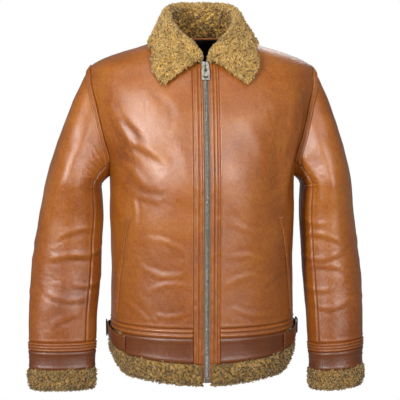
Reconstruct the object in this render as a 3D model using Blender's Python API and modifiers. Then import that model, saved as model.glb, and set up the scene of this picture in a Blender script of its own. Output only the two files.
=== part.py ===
"""Zipped sheepskin jacket with a shearling collar, hem and cuffs, in its worn form.

Metres. +Z is up, the front faces -Y, and +X is the wearer's left. The origin lies where the neck
carries the jacket: midway between the two points where the shoulder seams meet the neckline.
Every leather and wool piece is a closed wall: a grid of outer points and a grid of inner points
taken from one shared surface, so that the pieces meet at their seams with an even gap.
"""
import bmesh
import bpy
import numpy as np
from math import pi, radians
from mathutils import Matrix

COLLECTION = "sheepskin_jacket"

# Walls: the leather with its shorn wool, and the deep shearling of the edges
LEATHER_WALL = 0.0045
COLLAR_THICKNESS = 0.0080
SEAM_GAP = 0.0004

# Heights of the level seams of the body
NECK_FRONT_Z = -0.052
NECK_BACK_Z = -0.014
NECK_HALF_WIDTH = 0.078
WAIST_TOP_Z = -0.571
WAIST_BOTTOM_Z = -0.590

# The armhole is an ellipse when it is seen from the side
ARMHOLE_TOP_Z = -0.055
ARMHOLE_BOTTOM_Z = -0.280
ARMHOLE_FRONT = 0.054
ARMHOLE_BACK = 0.062

# Half widths counted from the middle of the zip
ZIP_CHAIN_HALF = 0.0031
ZIP_TAPE_HALF = 0.0053
FRONT_EDGE = 0.0057
PLACKET_INNER = 0.0090
PLACKET_OUTER = 0.0262
ZIP_TOP_Z = -0.0540
ZIP_BOTTOM_Z = -0.6790

# The front waist band ends this far from the middle, where the shearling rises beside it
BAND_END_X = 0.167

# Level sections of the body, from the hem up to the neck
BODY_POWER = 2.2
BODY_COLUMNS = ("height", "half_width", "front", "back", "middle_y")
BODY_SECTIONS = (
    (-0.720, 0.184, 0.141, 0.124, 0.000),
    (-0.580, 0.187, 0.142, 0.118, 0.000),
    (-0.450, 0.186, 0.145, 0.112, 0.000),
    (-0.350, 0.188, 0.150, 0.118, 0.000),
    (-0.270, 0.189, 0.153, 0.132, 0.000),
    (-0.237, 0.194, 0.151, 0.136, 0.003),
    (-0.200, 0.2085, 0.146, 0.137, 0.006),
    (-0.140, 0.225, 0.136, 0.130, 0.010),
    (-0.080, 0.231, 0.116, 0.116, 0.014),
    (-0.055, 0.221, 0.103, 0.106, 0.015),
    (-0.043, 0.201, 0.094, 0.098, 0.015),
    (-0.028, 0.161, 0.083, 0.090, 0.014),
    (-0.0155, 0.121, 0.072, 0.081, 0.013),
    (0.000, 0.078, 0.056, 0.066, 0.012),
    (0.012, 0.050, 0.040, 0.050, 0.012),
)

# Level sections of each sleeve below the armpit, down to the end of the cuff's shearling.
# inner_drop is how much lower the side next to the body hangs than the middle.
SLEEVE_COLUMNS = ("height", "centre_x", "centre_y", "half_width", "half_depth", "inner_drop")
SLEEVE_SECTIONS = {
    "right": (
        (-0.300, 0.2630, 0.006, 0.0580, 0.0740, 0.000),
        (-0.355, 0.2665, 0.006, 0.0650, 0.0630, 0.000),
        (-0.420, 0.2740, 0.003, 0.0690, 0.0555, 0.000),
        (-0.487, 0.2795, -0.004, 0.0715, 0.0475, 0.000),
        (-0.552, 0.2850, -0.014, 0.0697, 0.0415, 0.000),
        (-0.614, 0.2870, -0.024, 0.0685, 0.0325, 0.000),
        (-0.6693, 0.2880, -0.030, 0.0666, 0.0280, 0.000),
        (-0.7075, 0.2880, -0.034, 0.0650, 0.0275, 0.000),
    ),
    "left": (
        (-0.300, 0.2570, 0.006, 0.0525, 0.0790, 0.000),
        (-0.355, 0.2585, 0.006, 0.0562, 0.0715, 0.001),
        (-0.420, 0.2635, 0.003, 0.0585, 0.0655, 0.002),
        (-0.487, 0.2695, -0.004, 0.0603, 0.0597, 0.003),
        (-0.552, 0.2735, -0.014, 0.0590, 0.0535, 0.004),
        (-0.618, 0.2750, -0.024, 0.0570, 0.0470, 0.005),
        (-0.674, 0.2755, -0.030, 0.0548, 0.0432, 0.005),
        (-0.7105, 0.2755, -0.034, 0.0535, 0.0425, 0.005),
    ),
}
CUFF_HEIGHTS = {
    "right": {"strip": -0.614, "band": -0.6318, "wool": -0.6693, "end": -0.7075},
    "left": {"strip": -0.618, "band": -0.6362, "wool": -0.6740, "end": -0.7105},
}

# Sleeve seams, as angles round the sleeve from the side next to the body, positive to the front
FRONT_SEAM = radians(45)
BACK_SEAM = radians(-75)
ARMHOLE_STEP = radians(15)

# The fold line of the collar and the outer edge of its fall, from the back to the front end.
# share is the place along the neckline; the edge is an angle round the body and a height on it.
ROLL_COLUMNS = ("share", "x", "y", "z")
COLLAR_ROLL = (
    (0.00, 0.000, 0.086, 0.0725),
    (0.22, 0.046, 0.071, 0.0712),
    (0.46, 0.0715, 0.018, 0.0560),
    (0.64, 0.0665, -0.036, 0.0300),
    (0.80, 0.0450, -0.072, 0.0050),
    (0.92, 0.0220, -0.0875, -0.0150),
    (1.00, 0.0105, -0.0915, -0.0320),
)
EDGE_COLUMNS = ("share", "angle_degrees", "height")
COLLAR_EDGE = (
    (0.00, 90.0, -0.036),
    (0.22, 62.0, -0.026),
    (0.46, 4.0, -0.0055),
    (0.64, -51.0, -0.026),
    (0.82, -64.5, -0.055),
    (0.93, -68.3, -0.080),
    (1.00, -72.0, -0.093),
)
COLLAR_EDGE_LIFT = 0.0068
COLLAR_FOLD_RADIUS = 0.0058
COLLAR_BULGE = 0.0004
COLLAR_INSET = 0.0020
COLLAR_BASE_GAP = 0.0020
COLLAR_FRONT_SHARE = 0.045
SHOULDER_PLACE = 0.46
COLLAR_SHARES = (0.0, 0.2, 0.38, 0.5, 0.62, 0.8, 1.0)
COLLAR_COLUMNS = 12
COLLAR_BACK_ROWS = 6
COLLAR_FRONT_ROWS = 8

# The hem: the top and the end of its shearling against the distance from the middle of the body
HEM_COLUMNS = ("angle_from_side_degrees", "wool_top", "wool_end")
HEM_HEIGHTS = (
    (0.0, -0.6050, -0.6400),
    (12.0, -0.6070, -0.6480),
    (22.0, -0.6190, -0.6600),
    (32.0, -0.6300, -0.6690),
    (50.0, -0.6350, -0.6740),
    (70.0, -0.6395, -0.6790),
    (90.0, -0.6425, -0.6830),
)

# Hand pockets: the middle line of the two lips, from the top end to the waist
POCKET_COLUMNS = ("x", "height")
POCKET_LINE = (
    (0.1500, -0.3560),
    (0.1575, -0.3850),
    (0.1640, -0.4300),
    (0.1710, -0.4900),
    (0.1758, -0.5520),
)
POCKET_LIP_WIDTH = 0.0048

# Largest folds of the body: x runs to the wearer's left, heights in metres, rise out of the cloth
FOLD_COLUMNS = ("x_start", "z_start", "x_end", "z_end", "width", "rise")
FRONT_FOLDS = (
    (-0.178, -0.135, -0.090, -0.238, 0.015, 0.0035),
    (-0.165, -0.165, -0.125, -0.205, 0.012, -0.0030),
    (0.178, -0.115, 0.158, -0.330, 0.013, 0.0030),
    (0.150, -0.150, 0.135, -0.330, 0.016, -0.0025),
    (-0.150, -0.290, -0.110, -0.330, 0.018, -0.0025),
)
BACK_FOLDS = (
    (-0.165, -0.150, -0.120, -0.260, 0.016, 0.0030),
    (0.165, -0.140, 0.125, -0.270, 0.016, 0.0030),
    (-0.130, -0.480, 0.110, -0.470, 0.018, 0.0025),
)

# Sections of the raised strips: distance or share across, and rise above the cloth
PLACKET_PROFILE = (
    (FRONT_EDGE, 0.0000),
    (0.0085, 0.0006),
    (0.0118, 0.0018),
    (0.0150, 0.0004),
    (0.0185, 0.0018),
    (0.0222, 0.0006),
    (PLACKET_OUTER, 0.0000),
)
WAIST_PROFILE = ((0.0, 0.0), (0.2, 0.0018), (0.5, 0.0002), (0.8, 0.0018), (1.0, 0.0))
FLAT_PROFILE = ((0.0, 0.0), (0.5, 0.0), (1.0, 0.0))
WELT_PROFILE = ((0.0012, 0.0006), (0.0045, 0.0020), (0.0080, 0.0008), (0.0115, 0.0020), (0.0160, 0.0005))
WELT_LIFT = 0.0010
WELT_START = radians(45)
WELT_END = radians(315)

# Sections of the wool edges and of the cuffs: share, rise of the outside, depth of the inside
HEM_PROFILE = (
    (0.0, -0.0010, 0.0045),
    (0.15, 0.0030, 0.0070),
    (0.6, 0.0045, 0.0075),
    (0.9, 0.0030, 0.0060),
    (1.0, 0.0005, 0.0045),
)
NOTCH_PROFILE = ((0.0, 0.0005, 0.0045), (0.5, 0.0030, 0.0060), (1.0, 0.0002, 0.0045))
HEM_WOOL_START_X = 0.0089
HEM_CORNER_RISE = 0.005
CUFF_STRIP_PROFILE = (
    (0.0, 0.0, 0.0045),
    (0.17, 0.0018, 0.0045),
    (0.35, 0.0003, 0.0045),
    (0.5, 0.0018, 0.0045),
    (0.67, 0.0003, 0.0045),
    (0.84, 0.0018, 0.0045),
    (1.0, 0.0, 0.0045),
)
CUFF_BAND_PROFILE = ((0.0, 0.0, 0.0045), (0.5, 0.0003, 0.0045), (1.0, 0.0, 0.0045))
CUFF_WOOL_PROFILE = (
    (0.0, 0.0002, 0.0045),
    (0.12, 0.0022, 0.0060),
    (0.5, 0.0034, 0.0070),
    (0.88, 0.0020, 0.0060),
    (1.0, -0.0010, 0.0040),
)
POCKET_LIFT = 0.0005

# Zip slider, its bridge and pull, and the box at the lower end: width, length, thickness
GAP_TO_SEAT = 0.0003
SLIDER_Z = -0.0612
SLIDER_LIFT = 0.0003
SLIDER_SIZE = (0.0165, 0.0205, 0.0030)
SLIDER_SHIFT = 0.0024
BRIDGE_RADIUS = 0.0011
BRIDGE_LENGTH = 0.0124
BRIDGE_CLEARANCE = 0.0024
PULL_SIZE = (0.0165, 0.0260, 0.0016)
PULL_SLOT = (0.0056, 0.0065, 0.01)
PULL_HOLE = (0.0092, 0.0042, 0.01)
PULL_HOLE_SHARE = 0.77
PULL_TILT = radians(4)
ZIP_BOX_SIZE = (0.0106, 0.0088, 0.0036)

# Side straps of the hem, from the front band's end to the back band
STRAP_COLUMNS = ("angle_degrees", "top", "bottom", "lift")
STRAP_ROWS = (
    (-33.0, -0.5930, -0.6250, 0.0008),
    (-27.0, -0.5925, -0.6250, 0.0042),
    (-19.0, -0.5890, -0.6180, 0.0064),
    (-10.0, -0.5845, -0.6090, 0.0066),
    (0.0, -0.5815, -0.6050, 0.0066),
    (10.0, -0.5830, -0.6060, 0.0066),
    (19.0, -0.5880, -0.6110, 0.0064),
    (27.0, -0.5925, -0.6150, 0.0042),
    (33.0, -0.5930, -0.6155, 0.0008),
)
STRAP_THICKNESS = 0.0022
BUCKLE_Z = -0.5932
BUCKLE_SIZE = (0.0240, 0.0290)
BUCKLE_WIRE = 0.0015
BUCKLE_LIFT = 0.0101
PRONG_RADIUS = 0.0010
PRONG_RISE = 0.0002

COLOURS = {
    "leather": ((0.50, 0.17, 0.05), 0.35, 0.0),
    "dark_leather": ((0.30, 0.09, 0.03), 0.40, 0.0),
    "wool": ((0.48, 0.30, 0.09), 0.95, 0.0),
    "tape": ((0.20, 0.17, 0.12), 0.80, 0.0),
    "metal": ((0.55, 0.53, 0.48), 0.30, 1.0),
    "black_metal": ((0.02, 0.02, 0.02), 0.45, 1.0),
}


def start_scene():
    """Remove what is in the scene and return the collections of the jacket and the cutters."""
    for item in list(bpy.data.objects):
        bpy.data.objects.remove(item, do_unlink=True)
    made = []
    for name in (COLLECTION, "cutters"):
        collection = bpy.data.collections.new(name)
        bpy.context.scene.collection.children.link(collection)
        made.append(collection)
    return made


def smooth_curve(knots, values, at):
    """Smooth curve through the knots, whose slopes come from each knot's neighbours."""
    knots = np.asarray(knots, dtype=float)
    values = np.asarray(values, dtype=float)
    at = np.clip(np.asarray(at, dtype=float), knots[0], knots[-1])
    slopes = np.gradient(values, knots, axis=0)
    left = np.clip(np.searchsorted(knots, at) - 1, 0, len(knots) - 2)
    span = knots[left + 1] - knots[left]
    t = (at - knots[left]) / span
    if values.ndim > 1:
        span = span[..., None]
        t = t[..., None]
    return (
        values[left] * (1 + 2 * t) * (1 - t) ** 2
        + slopes[left] * span * t * (1 - t) ** 2
        + values[left + 1] * t**2 * (3 - 2 * t)
        + slopes[left + 1] * span * t**2 * (t - 1)
    )


def column(table, index):
    """One column of a table of sections, with its rows in rising order of the first column."""
    rows = np.array(sorted(table))
    return rows[:, 0], rows[:, index]


def unit(vectors):
    """Vectors of length one."""
    length = np.linalg.norm(vectors, axis=-1, keepdims=True)
    return vectors / np.maximum(length, 1e-12)


def signed_power(value, power):
    """A power that keeps the sign of the value."""
    return np.sign(value) * np.abs(value) ** power


def fold_rise(points, folds):
    """Height of the folds at points, each fold fading along its length and to its sides."""
    rise = np.zeros(points.shape[:-1])
    flat = points[..., (0, 2)]
    for x0, z0, x1, z1, width, height in folds:
        start = np.array((x0, z0))
        along = np.array((x1 - x0, z1 - z0))
        share = np.clip((flat - start) @ along / (along @ along), 0.0, 1.0)
        away = np.linalg.norm(flat - start - share[..., None] * along, axis=-1)
        rise += height * (0.35 + 0.65 * np.sin(pi * share)) * np.exp(-((away / width) ** 2))
    return rise


def body_base(angle, height):
    """Point on the smooth body surface: angle 0 is the left side, -90 degrees the front."""
    angle, height = np.broadcast_arrays(np.asarray(angle, float), np.asarray(height, float))
    half_width, front, back, middle = (
        smooth_curve(*column(BODY_SECTIONS, BODY_COLUMNS.index(name)), height)
        for name in BODY_COLUMNS[1:]
    )
    depth = np.where(np.sin(angle) < 0, front, back)
    x = half_width * signed_power(np.cos(angle), 2 / BODY_POWER)
    y = middle + depth * signed_power(np.sin(angle), 2 / BODY_POWER)
    return np.stack((x, y, height), axis=-1)


def body_normal(angle, height):
    """Outward direction of the smooth body surface."""
    step = 2e-3
    across = body_base(angle + step, height) - body_base(angle - step, height)
    up = body_base(angle, height + step) - body_base(angle, height - step)
    return unit(np.cross(across, up))


def body(angle, height, lift=0.0):
    """Point on the body with its folds, moved out by the lift."""
    base = body_base(angle, height)
    front = np.clip(-np.sin(angle) * 3, 0, 1)
    rear = np.clip(np.sin(angle) * 3, 0, 1)
    rise = front * fold_rise(base, FRONT_FOLDS) + rear * fold_rise(base, BACK_FOLDS)
    offset = rise + np.broadcast_to(lift, rise.shape)
    return base + body_normal(angle, height) * offset[..., None]


def front_angle(x, height):
    """Angle of the front point that lies at a distance x from the middle."""
    half_width = smooth_curve(*column(BODY_SECTIONS, 1), height)
    share = np.clip(np.abs(x) / half_width, 0, 1)
    return -np.arccos(share ** (BODY_POWER / 2))


def armhole_angle(turn):
    """Angle and height on the body of the armhole at a turn: 0 is the armpit, + to the front."""
    turn = np.asarray(turn, float)
    middle = (ARMHOLE_TOP_Z + ARMHOLE_BOTTOM_Z) / 2
    height = middle - (ARMHOLE_TOP_Z - ARMHOLE_BOTTOM_Z) / 2 * np.cos(turn)
    reach = np.where(np.sin(turn) > 0, ARMHOLE_FRONT, ARMHOLE_BACK) * -np.sin(turn)
    depth = np.where(
        np.sin(turn) > 0,
        smooth_curve(*column(BODY_SECTIONS, 2), height),
        smooth_curve(*column(BODY_SECTIONS, 3), height),
    )
    share = np.clip(np.abs(reach) / depth, 0, 1) ** (BODY_POWER / 2)
    return np.sign(reach) * np.arcsin(share), height


def neck_angle(share, back):
    """Angle and height on the body of the neckline; share 0 is the middle, 1 the shoulder seam."""
    share = np.asarray(share, float)
    inner = 0.0 if back else FRONT_EDGE
    turn = share * pi / 2
    x = inner + (NECK_HALF_WIDTH - inner) * np.sin(turn)
    height = (NECK_BACK_Z if back else NECK_FRONT_Z) * np.cos(turn)
    angle = front_angle(x, height)
    return (-angle if back else angle), height


def neck_height(x):
    """Height of the front neckline at a distance x from the middle."""
    share = (np.abs(x) - FRONT_EDGE) / (NECK_HALF_WIDTH - FRONT_EDGE)
    return NECK_FRONT_Z * np.cos(np.arcsin(np.clip(share, 0, 1)))


def mirror(points, side):
    """Points of the wearer's left side, or their mirror image for the right side."""
    return points * np.array((1.0 if side == "left" else -1.0, 1.0, 1.0))


def sleeve_ring(side, turn, height):
    """Point of a level sleeve section, on the left side whichever sleeve it is."""
    turn, height = np.broadcast_arrays(np.asarray(turn, float), np.asarray(height, float))
    centre_x, centre_y, half_width, half_depth, drop = (
        smooth_curve(*column(SLEEVE_SECTIONS[side], SLEEVE_COLUMNS.index(name)), height)
        for name in SLEEVE_COLUMNS[1:]
    )
    x = centre_x - half_width * np.cos(turn)
    y = centre_y - half_depth * np.sin(turn)
    return np.stack((x, y, height - drop * np.cos(turn)), axis=-1)


CAP_BASE_Z = -0.300
CAP_START_PULL = 0.27
CAP_END_PULL = 0.76


def sleeve_base(side, turn, along):
    """Sleeve surface: along 0 is the armhole, 1 the level of the armpit, more runs down in metres."""
    turn, along = np.broadcast_arrays(np.asarray(turn, float), np.asarray(along, float))
    start = body_base(*armhole_angle(turn))
    end = sleeve_ring(side, turn, CAP_BASE_Z)
    below = sleeve_ring(side, turn, CAP_BASE_Z - 0.01)
    reach = np.linalg.norm(end - start, axis=-1, keepdims=True)
    top = (1 - np.cos(turn)) / 2
    leave = unit(np.stack((0.75 + 0.25 * top, -0.30 * np.sin(turn), -0.95 + 0.25 * top), axis=-1))
    t = np.clip(along, 0, 1)[..., None]
    cap = (
        start * (1 + 2 * t) * (1 - t) ** 2
        + leave * reach * CAP_START_PULL * t * (1 - t) ** 2
        + end * t**2 * (3 - 2 * t)
        + unit(below - end) * reach * CAP_END_PULL * t**2 * (t - 1)
    )
    lower = sleeve_ring(side, turn, CAP_BASE_Z - np.clip(along - 1, 0, None))
    return np.where(along[..., None] <= 1, cap, lower)


def sleeve_normal(side, turn, along):
    """Outward direction of the sleeve surface."""
    step = 2e-3
    low = np.clip(np.asarray(along, float) - step, 0, None)
    around = sleeve_base(side, turn + step, along) - sleeve_base(side, turn - step, along)
    down = sleeve_base(side, turn, low + 2 * step) - sleeve_base(side, turn, low)
    return unit(np.cross(down, around))


def armhole_rim(side, turn):
    """Shared direction in which both walls that meet at the armhole have their thickness."""
    return unit(body_normal(*armhole_angle(turn)) + sleeve_normal(side, turn, 0.0))


def sleeve(side, turn, along, lift=0.0):
    """Point on the sleeve, moved out by the lift; at the armhole it moves as the body does."""
    turn, along = np.broadcast_arrays(np.asarray(turn, float), np.asarray(along, float))
    outward = sleeve_normal(side, turn, along)
    outward = np.where(along[..., None] < 1e-9, armhole_rim(side, turn), outward)
    lift = np.broadcast_to(lift, turn.shape)[..., None]
    return sleeve_base(side, turn, along) + outward * lift


def along_at(height):
    """Place along the sleeve of a level section below the armpit."""
    return 1 + CAP_BASE_Z - np.asarray(height, float)


def material(kind):
    """Principled material of one of the jacket's stuffs."""
    colour, roughness, metallic = COLOURS[kind]
    made = bpy.data.materials.new(kind)
    made.use_nodes = True
    shader = made.node_tree.nodes["Principled BSDF"]
    shader.inputs["Base Color"].default_value = (*colour, 1.0)
    shader.inputs["Roughness"].default_value = roughness
    shader.inputs["Metallic"].default_value = metallic
    return made


def pulled_in(grid, edges, distance=SEAM_GAP / 2):
    """The grid with the named edges drawn back along the cloth by half a seam's gap."""
    grid = grid.copy()
    ends = {
        "first_row": (np.s_[0, :], np.s_[1, :]),
        "last_row": (np.s_[-1, :], np.s_[-2, :]),
        "first_column": (np.s_[:, 0], np.s_[:, 1]),
        "last_column": (np.s_[:, -1], np.s_[:, -2]),
    }
    for edge in edges:
        rim, next_line = ends[edge]
        grid[rim] = grid[rim] + unit(grid[next_line] - grid[rim]) * distance
    return grid


def wall(collection, name, stuff, patches):
    """Closed wall from pairs of outer and inner grids; equal points of the grids are welded.

    A rim's diagonals depend on its direction only, so two rims at one seam stay parallel.
    """
    places = {}
    outer_points = []
    inner_points = []
    faces = []
    for outer, inner in patches:
        rows, columns = outer.shape[:2]
        number = np.empty((rows, columns), dtype=int)
        for row in range(rows):
            for col in range(columns):
                key = tuple(np.round(outer[row, col], 6))
                if key not in places:
                    places[key] = len(outer_points)
                    outer_points.append(outer[row, col])
                    inner_points.append(inner[row, col])
                number[row, col] = places[key]
        for row in range(rows - 1):
            for col in range(columns - 1):
                faces.append((number[row, col], number[row, col + 1],
                              number[row + 1, col + 1], number[row + 1, col]))
    edge_count = {}
    for face in faces:
        for start, end in zip(face, face[1:] + face[:1]):
            pair = (min(start, end), max(start, end))
            edge_count[pair] = edge_count.get(pair, 0) + 1
    shell = bmesh.new()
    outer_verts = [shell.verts.new(point) for point in outer_points]
    inner_verts = [shell.verts.new(point) for point in inner_points]
    for face in faces:
        shell.faces.new([outer_verts[index] for index in face])
        shell.faces.new([inner_verts[index] for index in reversed(face)])
        for start, end in zip(face, face[1:] + face[:1]):
            if edge_count[(min(start, end), max(start, end))] == 1:
                run = outer_points[end] - outer_points[start]
                if run[np.argmax(np.abs(run))] > 0:
                    rim = ((outer_verts[end], outer_verts[start], inner_verts[start]),
                           (outer_verts[end], inner_verts[start], inner_verts[end]))
                else:
                    rim = ((outer_verts[end], outer_verts[start], inner_verts[end]),
                           (outer_verts[start], inner_verts[start], inner_verts[end]))
                for triangle in rim:
                    shell.faces.new(triangle)
    return finished(collection, name, stuff, shell)


def finished(collection, name, stuff, shell):
    """Named object with outward faces, smooth shading and its own material, from a bmesh."""
    bmesh.ops.recalc_face_normals(shell, faces=shell.faces)
    if shell.calc_volume(signed=True) < 0:
        bmesh.ops.reverse_faces(shell, faces=shell.faces)
    mesh = bpy.data.meshes.new(name)
    shell.to_mesh(mesh)
    shell.free()
    mesh.shade_smooth()
    mesh.set_sharp_from_angle(angle=radians(40))
    mesh.materials.append(material(stuff))
    made = bpy.data.objects.new(name, mesh)
    collection.objects.link(made)
    return made


# Rows and columns shared by the pieces of the body that meet at a seam
SIDE_HEIGHTS = np.linspace(WAIST_TOP_Z, ARMHOLE_BOTTOM_Z, 10)
ARMHOLE_TURNS = np.arange(1, 13) * ARMHOLE_STEP
PLACKET_SHARE = np.arcsin((PLACKET_OUTER - FRONT_EDGE) / (NECK_HALF_WIDTH - FRONT_EDGE)) / (pi / 2)
FRONT_NECK_SHARES = np.linspace(PLACKET_SHARE, 1, 5)
BACK_NECK_SHARES = np.linspace(0, 1, 4)
HALF_COLUMNS = 11


def body_panel_lines(back):
    """Angles and heights of a half panel's inner and outer ends, row by row from the waist."""
    sign = -1 if back else 1
    side_angles, side_heights = armhole_angle(sign * ARMHOLE_TURNS)
    outer_angles = np.concatenate((np.zeros(len(SIDE_HEIGHTS)), side_angles))
    outer_heights = np.concatenate((SIDE_HEIGHTS, side_heights))
    outer_angles[-1] = 0.0
    shares = BACK_NECK_SHARES if back else FRONT_NECK_SHARES
    neck_angles, neck_heights = neck_angle(shares, back)
    straight = len(outer_heights) - len(shares)
    above = straight - len(SIDE_HEIGHTS)
    rising = np.linspace(ARMHOLE_BOTTOM_Z, neck_heights[0], above + 2)[1:-1]
    inner_heights = np.concatenate((SIDE_HEIGHTS, rising, neck_heights))
    if back:
        centre = np.full(straight, pi / 2)
    else:
        centre = front_angle(PLACKET_OUTER, inner_heights[:straight])
    inner_angles = np.concatenate((centre, neck_angles))
    return inner_angles, inner_heights, outer_angles, outer_heights


def side_angle(angle, side):
    """An angle of the left side, or the one opposite it on the right."""
    return angle if side == "left" else pi - angle


def body_panel(side, back):
    """Outer and inner grids of a front, or of one half of the back."""
    inner_angles, inner_heights, outer_angles, outer_heights = body_panel_lines(back)
    across = np.linspace(0, 1, HALF_COLUMNS)[None, :]
    angle = inner_angles[:, None] * (1 - across) + outer_angles[:, None] * across
    height = inner_heights[:, None] * (1 - across) + outer_heights[:, None] * across
    turned = side_angle(angle, side)
    outer = body(turned, height)
    outward = body_normal(turned, height)
    turns = (-1 if back else 1) * np.concatenate(((0.0,), ARMHOLE_TURNS))
    outward[len(SIDE_HEIGHTS) - 1:, -1] = mirror(armhole_rim(side, turns), side)
    inner = outer - outward * LEATHER_WALL
    edges = ["last_column", "last_row", "first_row"]
    if not back:
        edges.append("first_column")
    return pulled_in(outer, edges), pulled_in(inner, edges)


def make_body(collection):
    """The two fronts and the one-piece back."""
    for side in ("left", "right"):
        wall(collection, f"front_{side}", "leather", [body_panel(side, False)])
    wall(collection, "back", "leather", [body_panel(side, True) for side in ("left", "right")])


def make_plackets(collection):
    """The ridged strips beside the zip, whose narrow inner edge runs on down through the hem."""
    inner_heights = body_panel_lines(False)[1]
    straight = inner_heights[: len(inner_heights) - len(FRONT_NECK_SHARES)]
    x = np.array([row[0] for row in PLACKET_PROFILE])
    rise = np.array([row[1] for row in PLACKET_PROFILE])
    bottom = hem_height(front_angle(x, WAIST_BOTTOM_Z), "wool_top") + SEAM_GAP / 2
    levels = np.concatenate(((WAIST_BOTTOM_Z,), straight))
    sides = np.repeat(levels[:, None], len(x), axis=1)
    height = np.concatenate((bottom[None, :], sides, neck_height(x)[None, :]))
    share = np.linspace(0, 1, 3)[:, None]
    hem_grid = ZIP_BOTTOM_Z * (1 - share) + bottom[None, :2] * share
    for side in ("left", "right"):
        patches = []
        for heights, columns in ((height, len(x)), (hem_grid, 2)):
            angle = side_angle(front_angle(x[None, :columns], heights), side)
            outer = body(angle, heights, rise[None, :columns])
            inner = body(angle, heights, -LEATHER_WALL)
            patches.append((outer, inner))
        wall(collection, f"placket_{side}", "leather", patches)


def ring_piece(collection, name, stuff, angles, heights, profile, inner_lift):
    """Wall round part of the body between two heights; the profile gives share and rise."""
    share = np.array([row[0] for row in profile])[:, None]
    rise = np.array([row[1] for row in profile])[:, None]
    angle = np.broadcast_to(angles[None, :], (len(profile), len(angles)))
    low, high = (np.broadcast_to(value, angles.shape)[None, :] for value in heights)
    height = low * (1 - share) + high * share
    outer = body(angle, height, rise)
    inner = body(angle, height, inner_lift)
    edges = ("first_row", "last_row", "first_column", "last_column")
    return wall(collection, name, stuff, [(pulled_in(outer, edges), pulled_in(inner, edges))])


def hem_height(angle, name):
    """Height of the top or the end of the hem's wool at an angle round the body."""
    from_side = np.degrees(np.arcsin(np.abs(np.sin(angle))))
    return smooth_curve(*column(HEM_HEIGHTS, HEM_COLUMNS.index(name)), from_side)


def make_waist(collection):
    """The ridged strip at the waist seam and the flat bands under it."""
    middle = front_angle(PLACKET_OUTER, WAIST_BOTTOM_Z)
    end = front_angle(BAND_END_X, WAIST_BOTTOM_Z)
    spans = {
        "left": (middle, 0.0, end),
        "right": (-pi - middle, -pi, -pi - end),
    }
    for side, (inner, outer, stop) in spans.items():
        angles = np.linspace(inner, outer, HALF_COLUMNS)
        ring_piece(collection, f"waist_strip_{side}", "leather", angles,
                   (WAIST_BOTTOM_Z, WAIST_TOP_Z), WAIST_PROFILE, -LEATHER_WALL)
        angles = np.linspace(inner, stop, 9)
        ring_piece(collection, f"waist_band_{side}", "dark_leather", angles,
                   (hem_height(angles, "wool_top"), WAIST_BOTTOM_Z), FLAT_PROFILE, -LEATHER_WALL)
    angles = np.linspace(0, pi, 2 * HALF_COLUMNS - 1)
    ring_piece(collection, "waist_strip_back", "leather", angles,
               (WAIST_BOTTOM_Z, WAIST_TOP_Z), WAIST_PROFILE, -LEATHER_WALL)
    angles = np.linspace(-end, pi + end, 19)
    ring_piece(collection, "waist_band_back", "dark_leather", angles,
               (hem_height(angles, "wool_top"), WAIST_BOTTOM_Z), FLAT_PROFILE, -LEATHER_WALL)


def hem_patch(angles, low, high, profile):
    """Outer and inner grids of a stretch of the hem's wool."""
    share = np.array([row[0] for row in profile])[:, None]
    rise = np.array([row[1] for row in profile])[:, None]
    depth = np.array([row[2] for row in profile])[:, None]
    angle = np.broadcast_to(angles[None, :], (len(profile), len(angles)))
    height = low[None, :] * (1 - share) + high[None, :] * share
    return body(angle, height, rise), body(angle, height, -depth)


def make_hem_wool(collection):
    """The shearling round the hem, which rises at the sides between the ends of the bands."""
    gap = SEAM_GAP / 2
    middle = front_angle(HEM_WOOL_START_X, HEM_HEIGHTS[-1][1])
    end = front_angle(BAND_END_X, WAIST_BOTTOM_Z)
    notch = end + SEAM_GAP / BODY_SECTIONS[1][1]
    seam = SEAM_GAP / 2 / BODY_SECTIONS[1][3]
    front_low = np.linspace(middle, end, 9)
    front_high = np.linspace(notch, -seam, 5)
    back_high = np.linspace(seam, -notch, 5)
    pieces = {
        "left": ((front_low, front_high),),
        "right": ((-pi - front_low[::-1], -pi - front_high[::-1]),),
        "back": ((np.linspace(-end, pi + end, 17), back_high, pi - back_high[::-1]),),
    }
    for name, ((low_angles, *high_groups),) in pieces.items():
        joined = np.sort(np.concatenate((low_angles, *high_groups)))
        top = hem_height(joined, "wool_top") - gap
        bottom = hem_height(joined, "wool_end")
        if name != "back":
            near = np.abs(np.abs(joined + pi / 2) - np.abs(middle + pi / 2)) < 1e-6
            bottom = np.where(near, bottom + HEM_CORNER_RISE, bottom)
        patches = [hem_patch(joined, bottom, top, HEM_PROFILE)]
        for group in high_groups:
            group = np.sort(group)
            start = hem_height(group, "wool_top") - gap
            finish = np.full(len(group), WAIST_BOTTOM_Z - gap)
            patches.append(hem_patch(group, start, finish, NOTCH_PROFILE))
        wall(collection, f"hem_wool_{name}", "wool", patches)


def make_sleeves(collection):
    """Upper and under sleeve of each arm, from the armhole to the strip above the cuff."""
    turns = {
        "upper": np.arange(FRONT_SEAM, 2 * pi + BACK_SEAM + 1e-6, ARMHOLE_STEP),
        "under": np.arange(BACK_SEAM, FRONT_SEAM + 1e-6, ARMHOLE_STEP),
    }
    cap = np.array((0.0, 0.12, 0.30, 0.50, 0.70, 0.86, 1.0))
    for side in ("left", "right"):
        strip = CUFF_HEIGHTS[side]["strip"]
        lower = along_at(np.linspace(CAP_BASE_Z, strip, 9)[1:])
        along = np.concatenate((cap, lower))[:, None]
        for piece, around in turns.items():
            outer = mirror(sleeve(side, around[None, :], along), side)
            inner = mirror(sleeve(side, around[None, :], along, -LEATHER_WALL), side)
            edges = ("first_row", "last_row", "first_column", "last_column")
            patch = (pulled_in(outer, edges), pulled_in(inner, edges))
            wall(collection, f"sleeve_{piece}_{side}", "leather", [patch])


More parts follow.
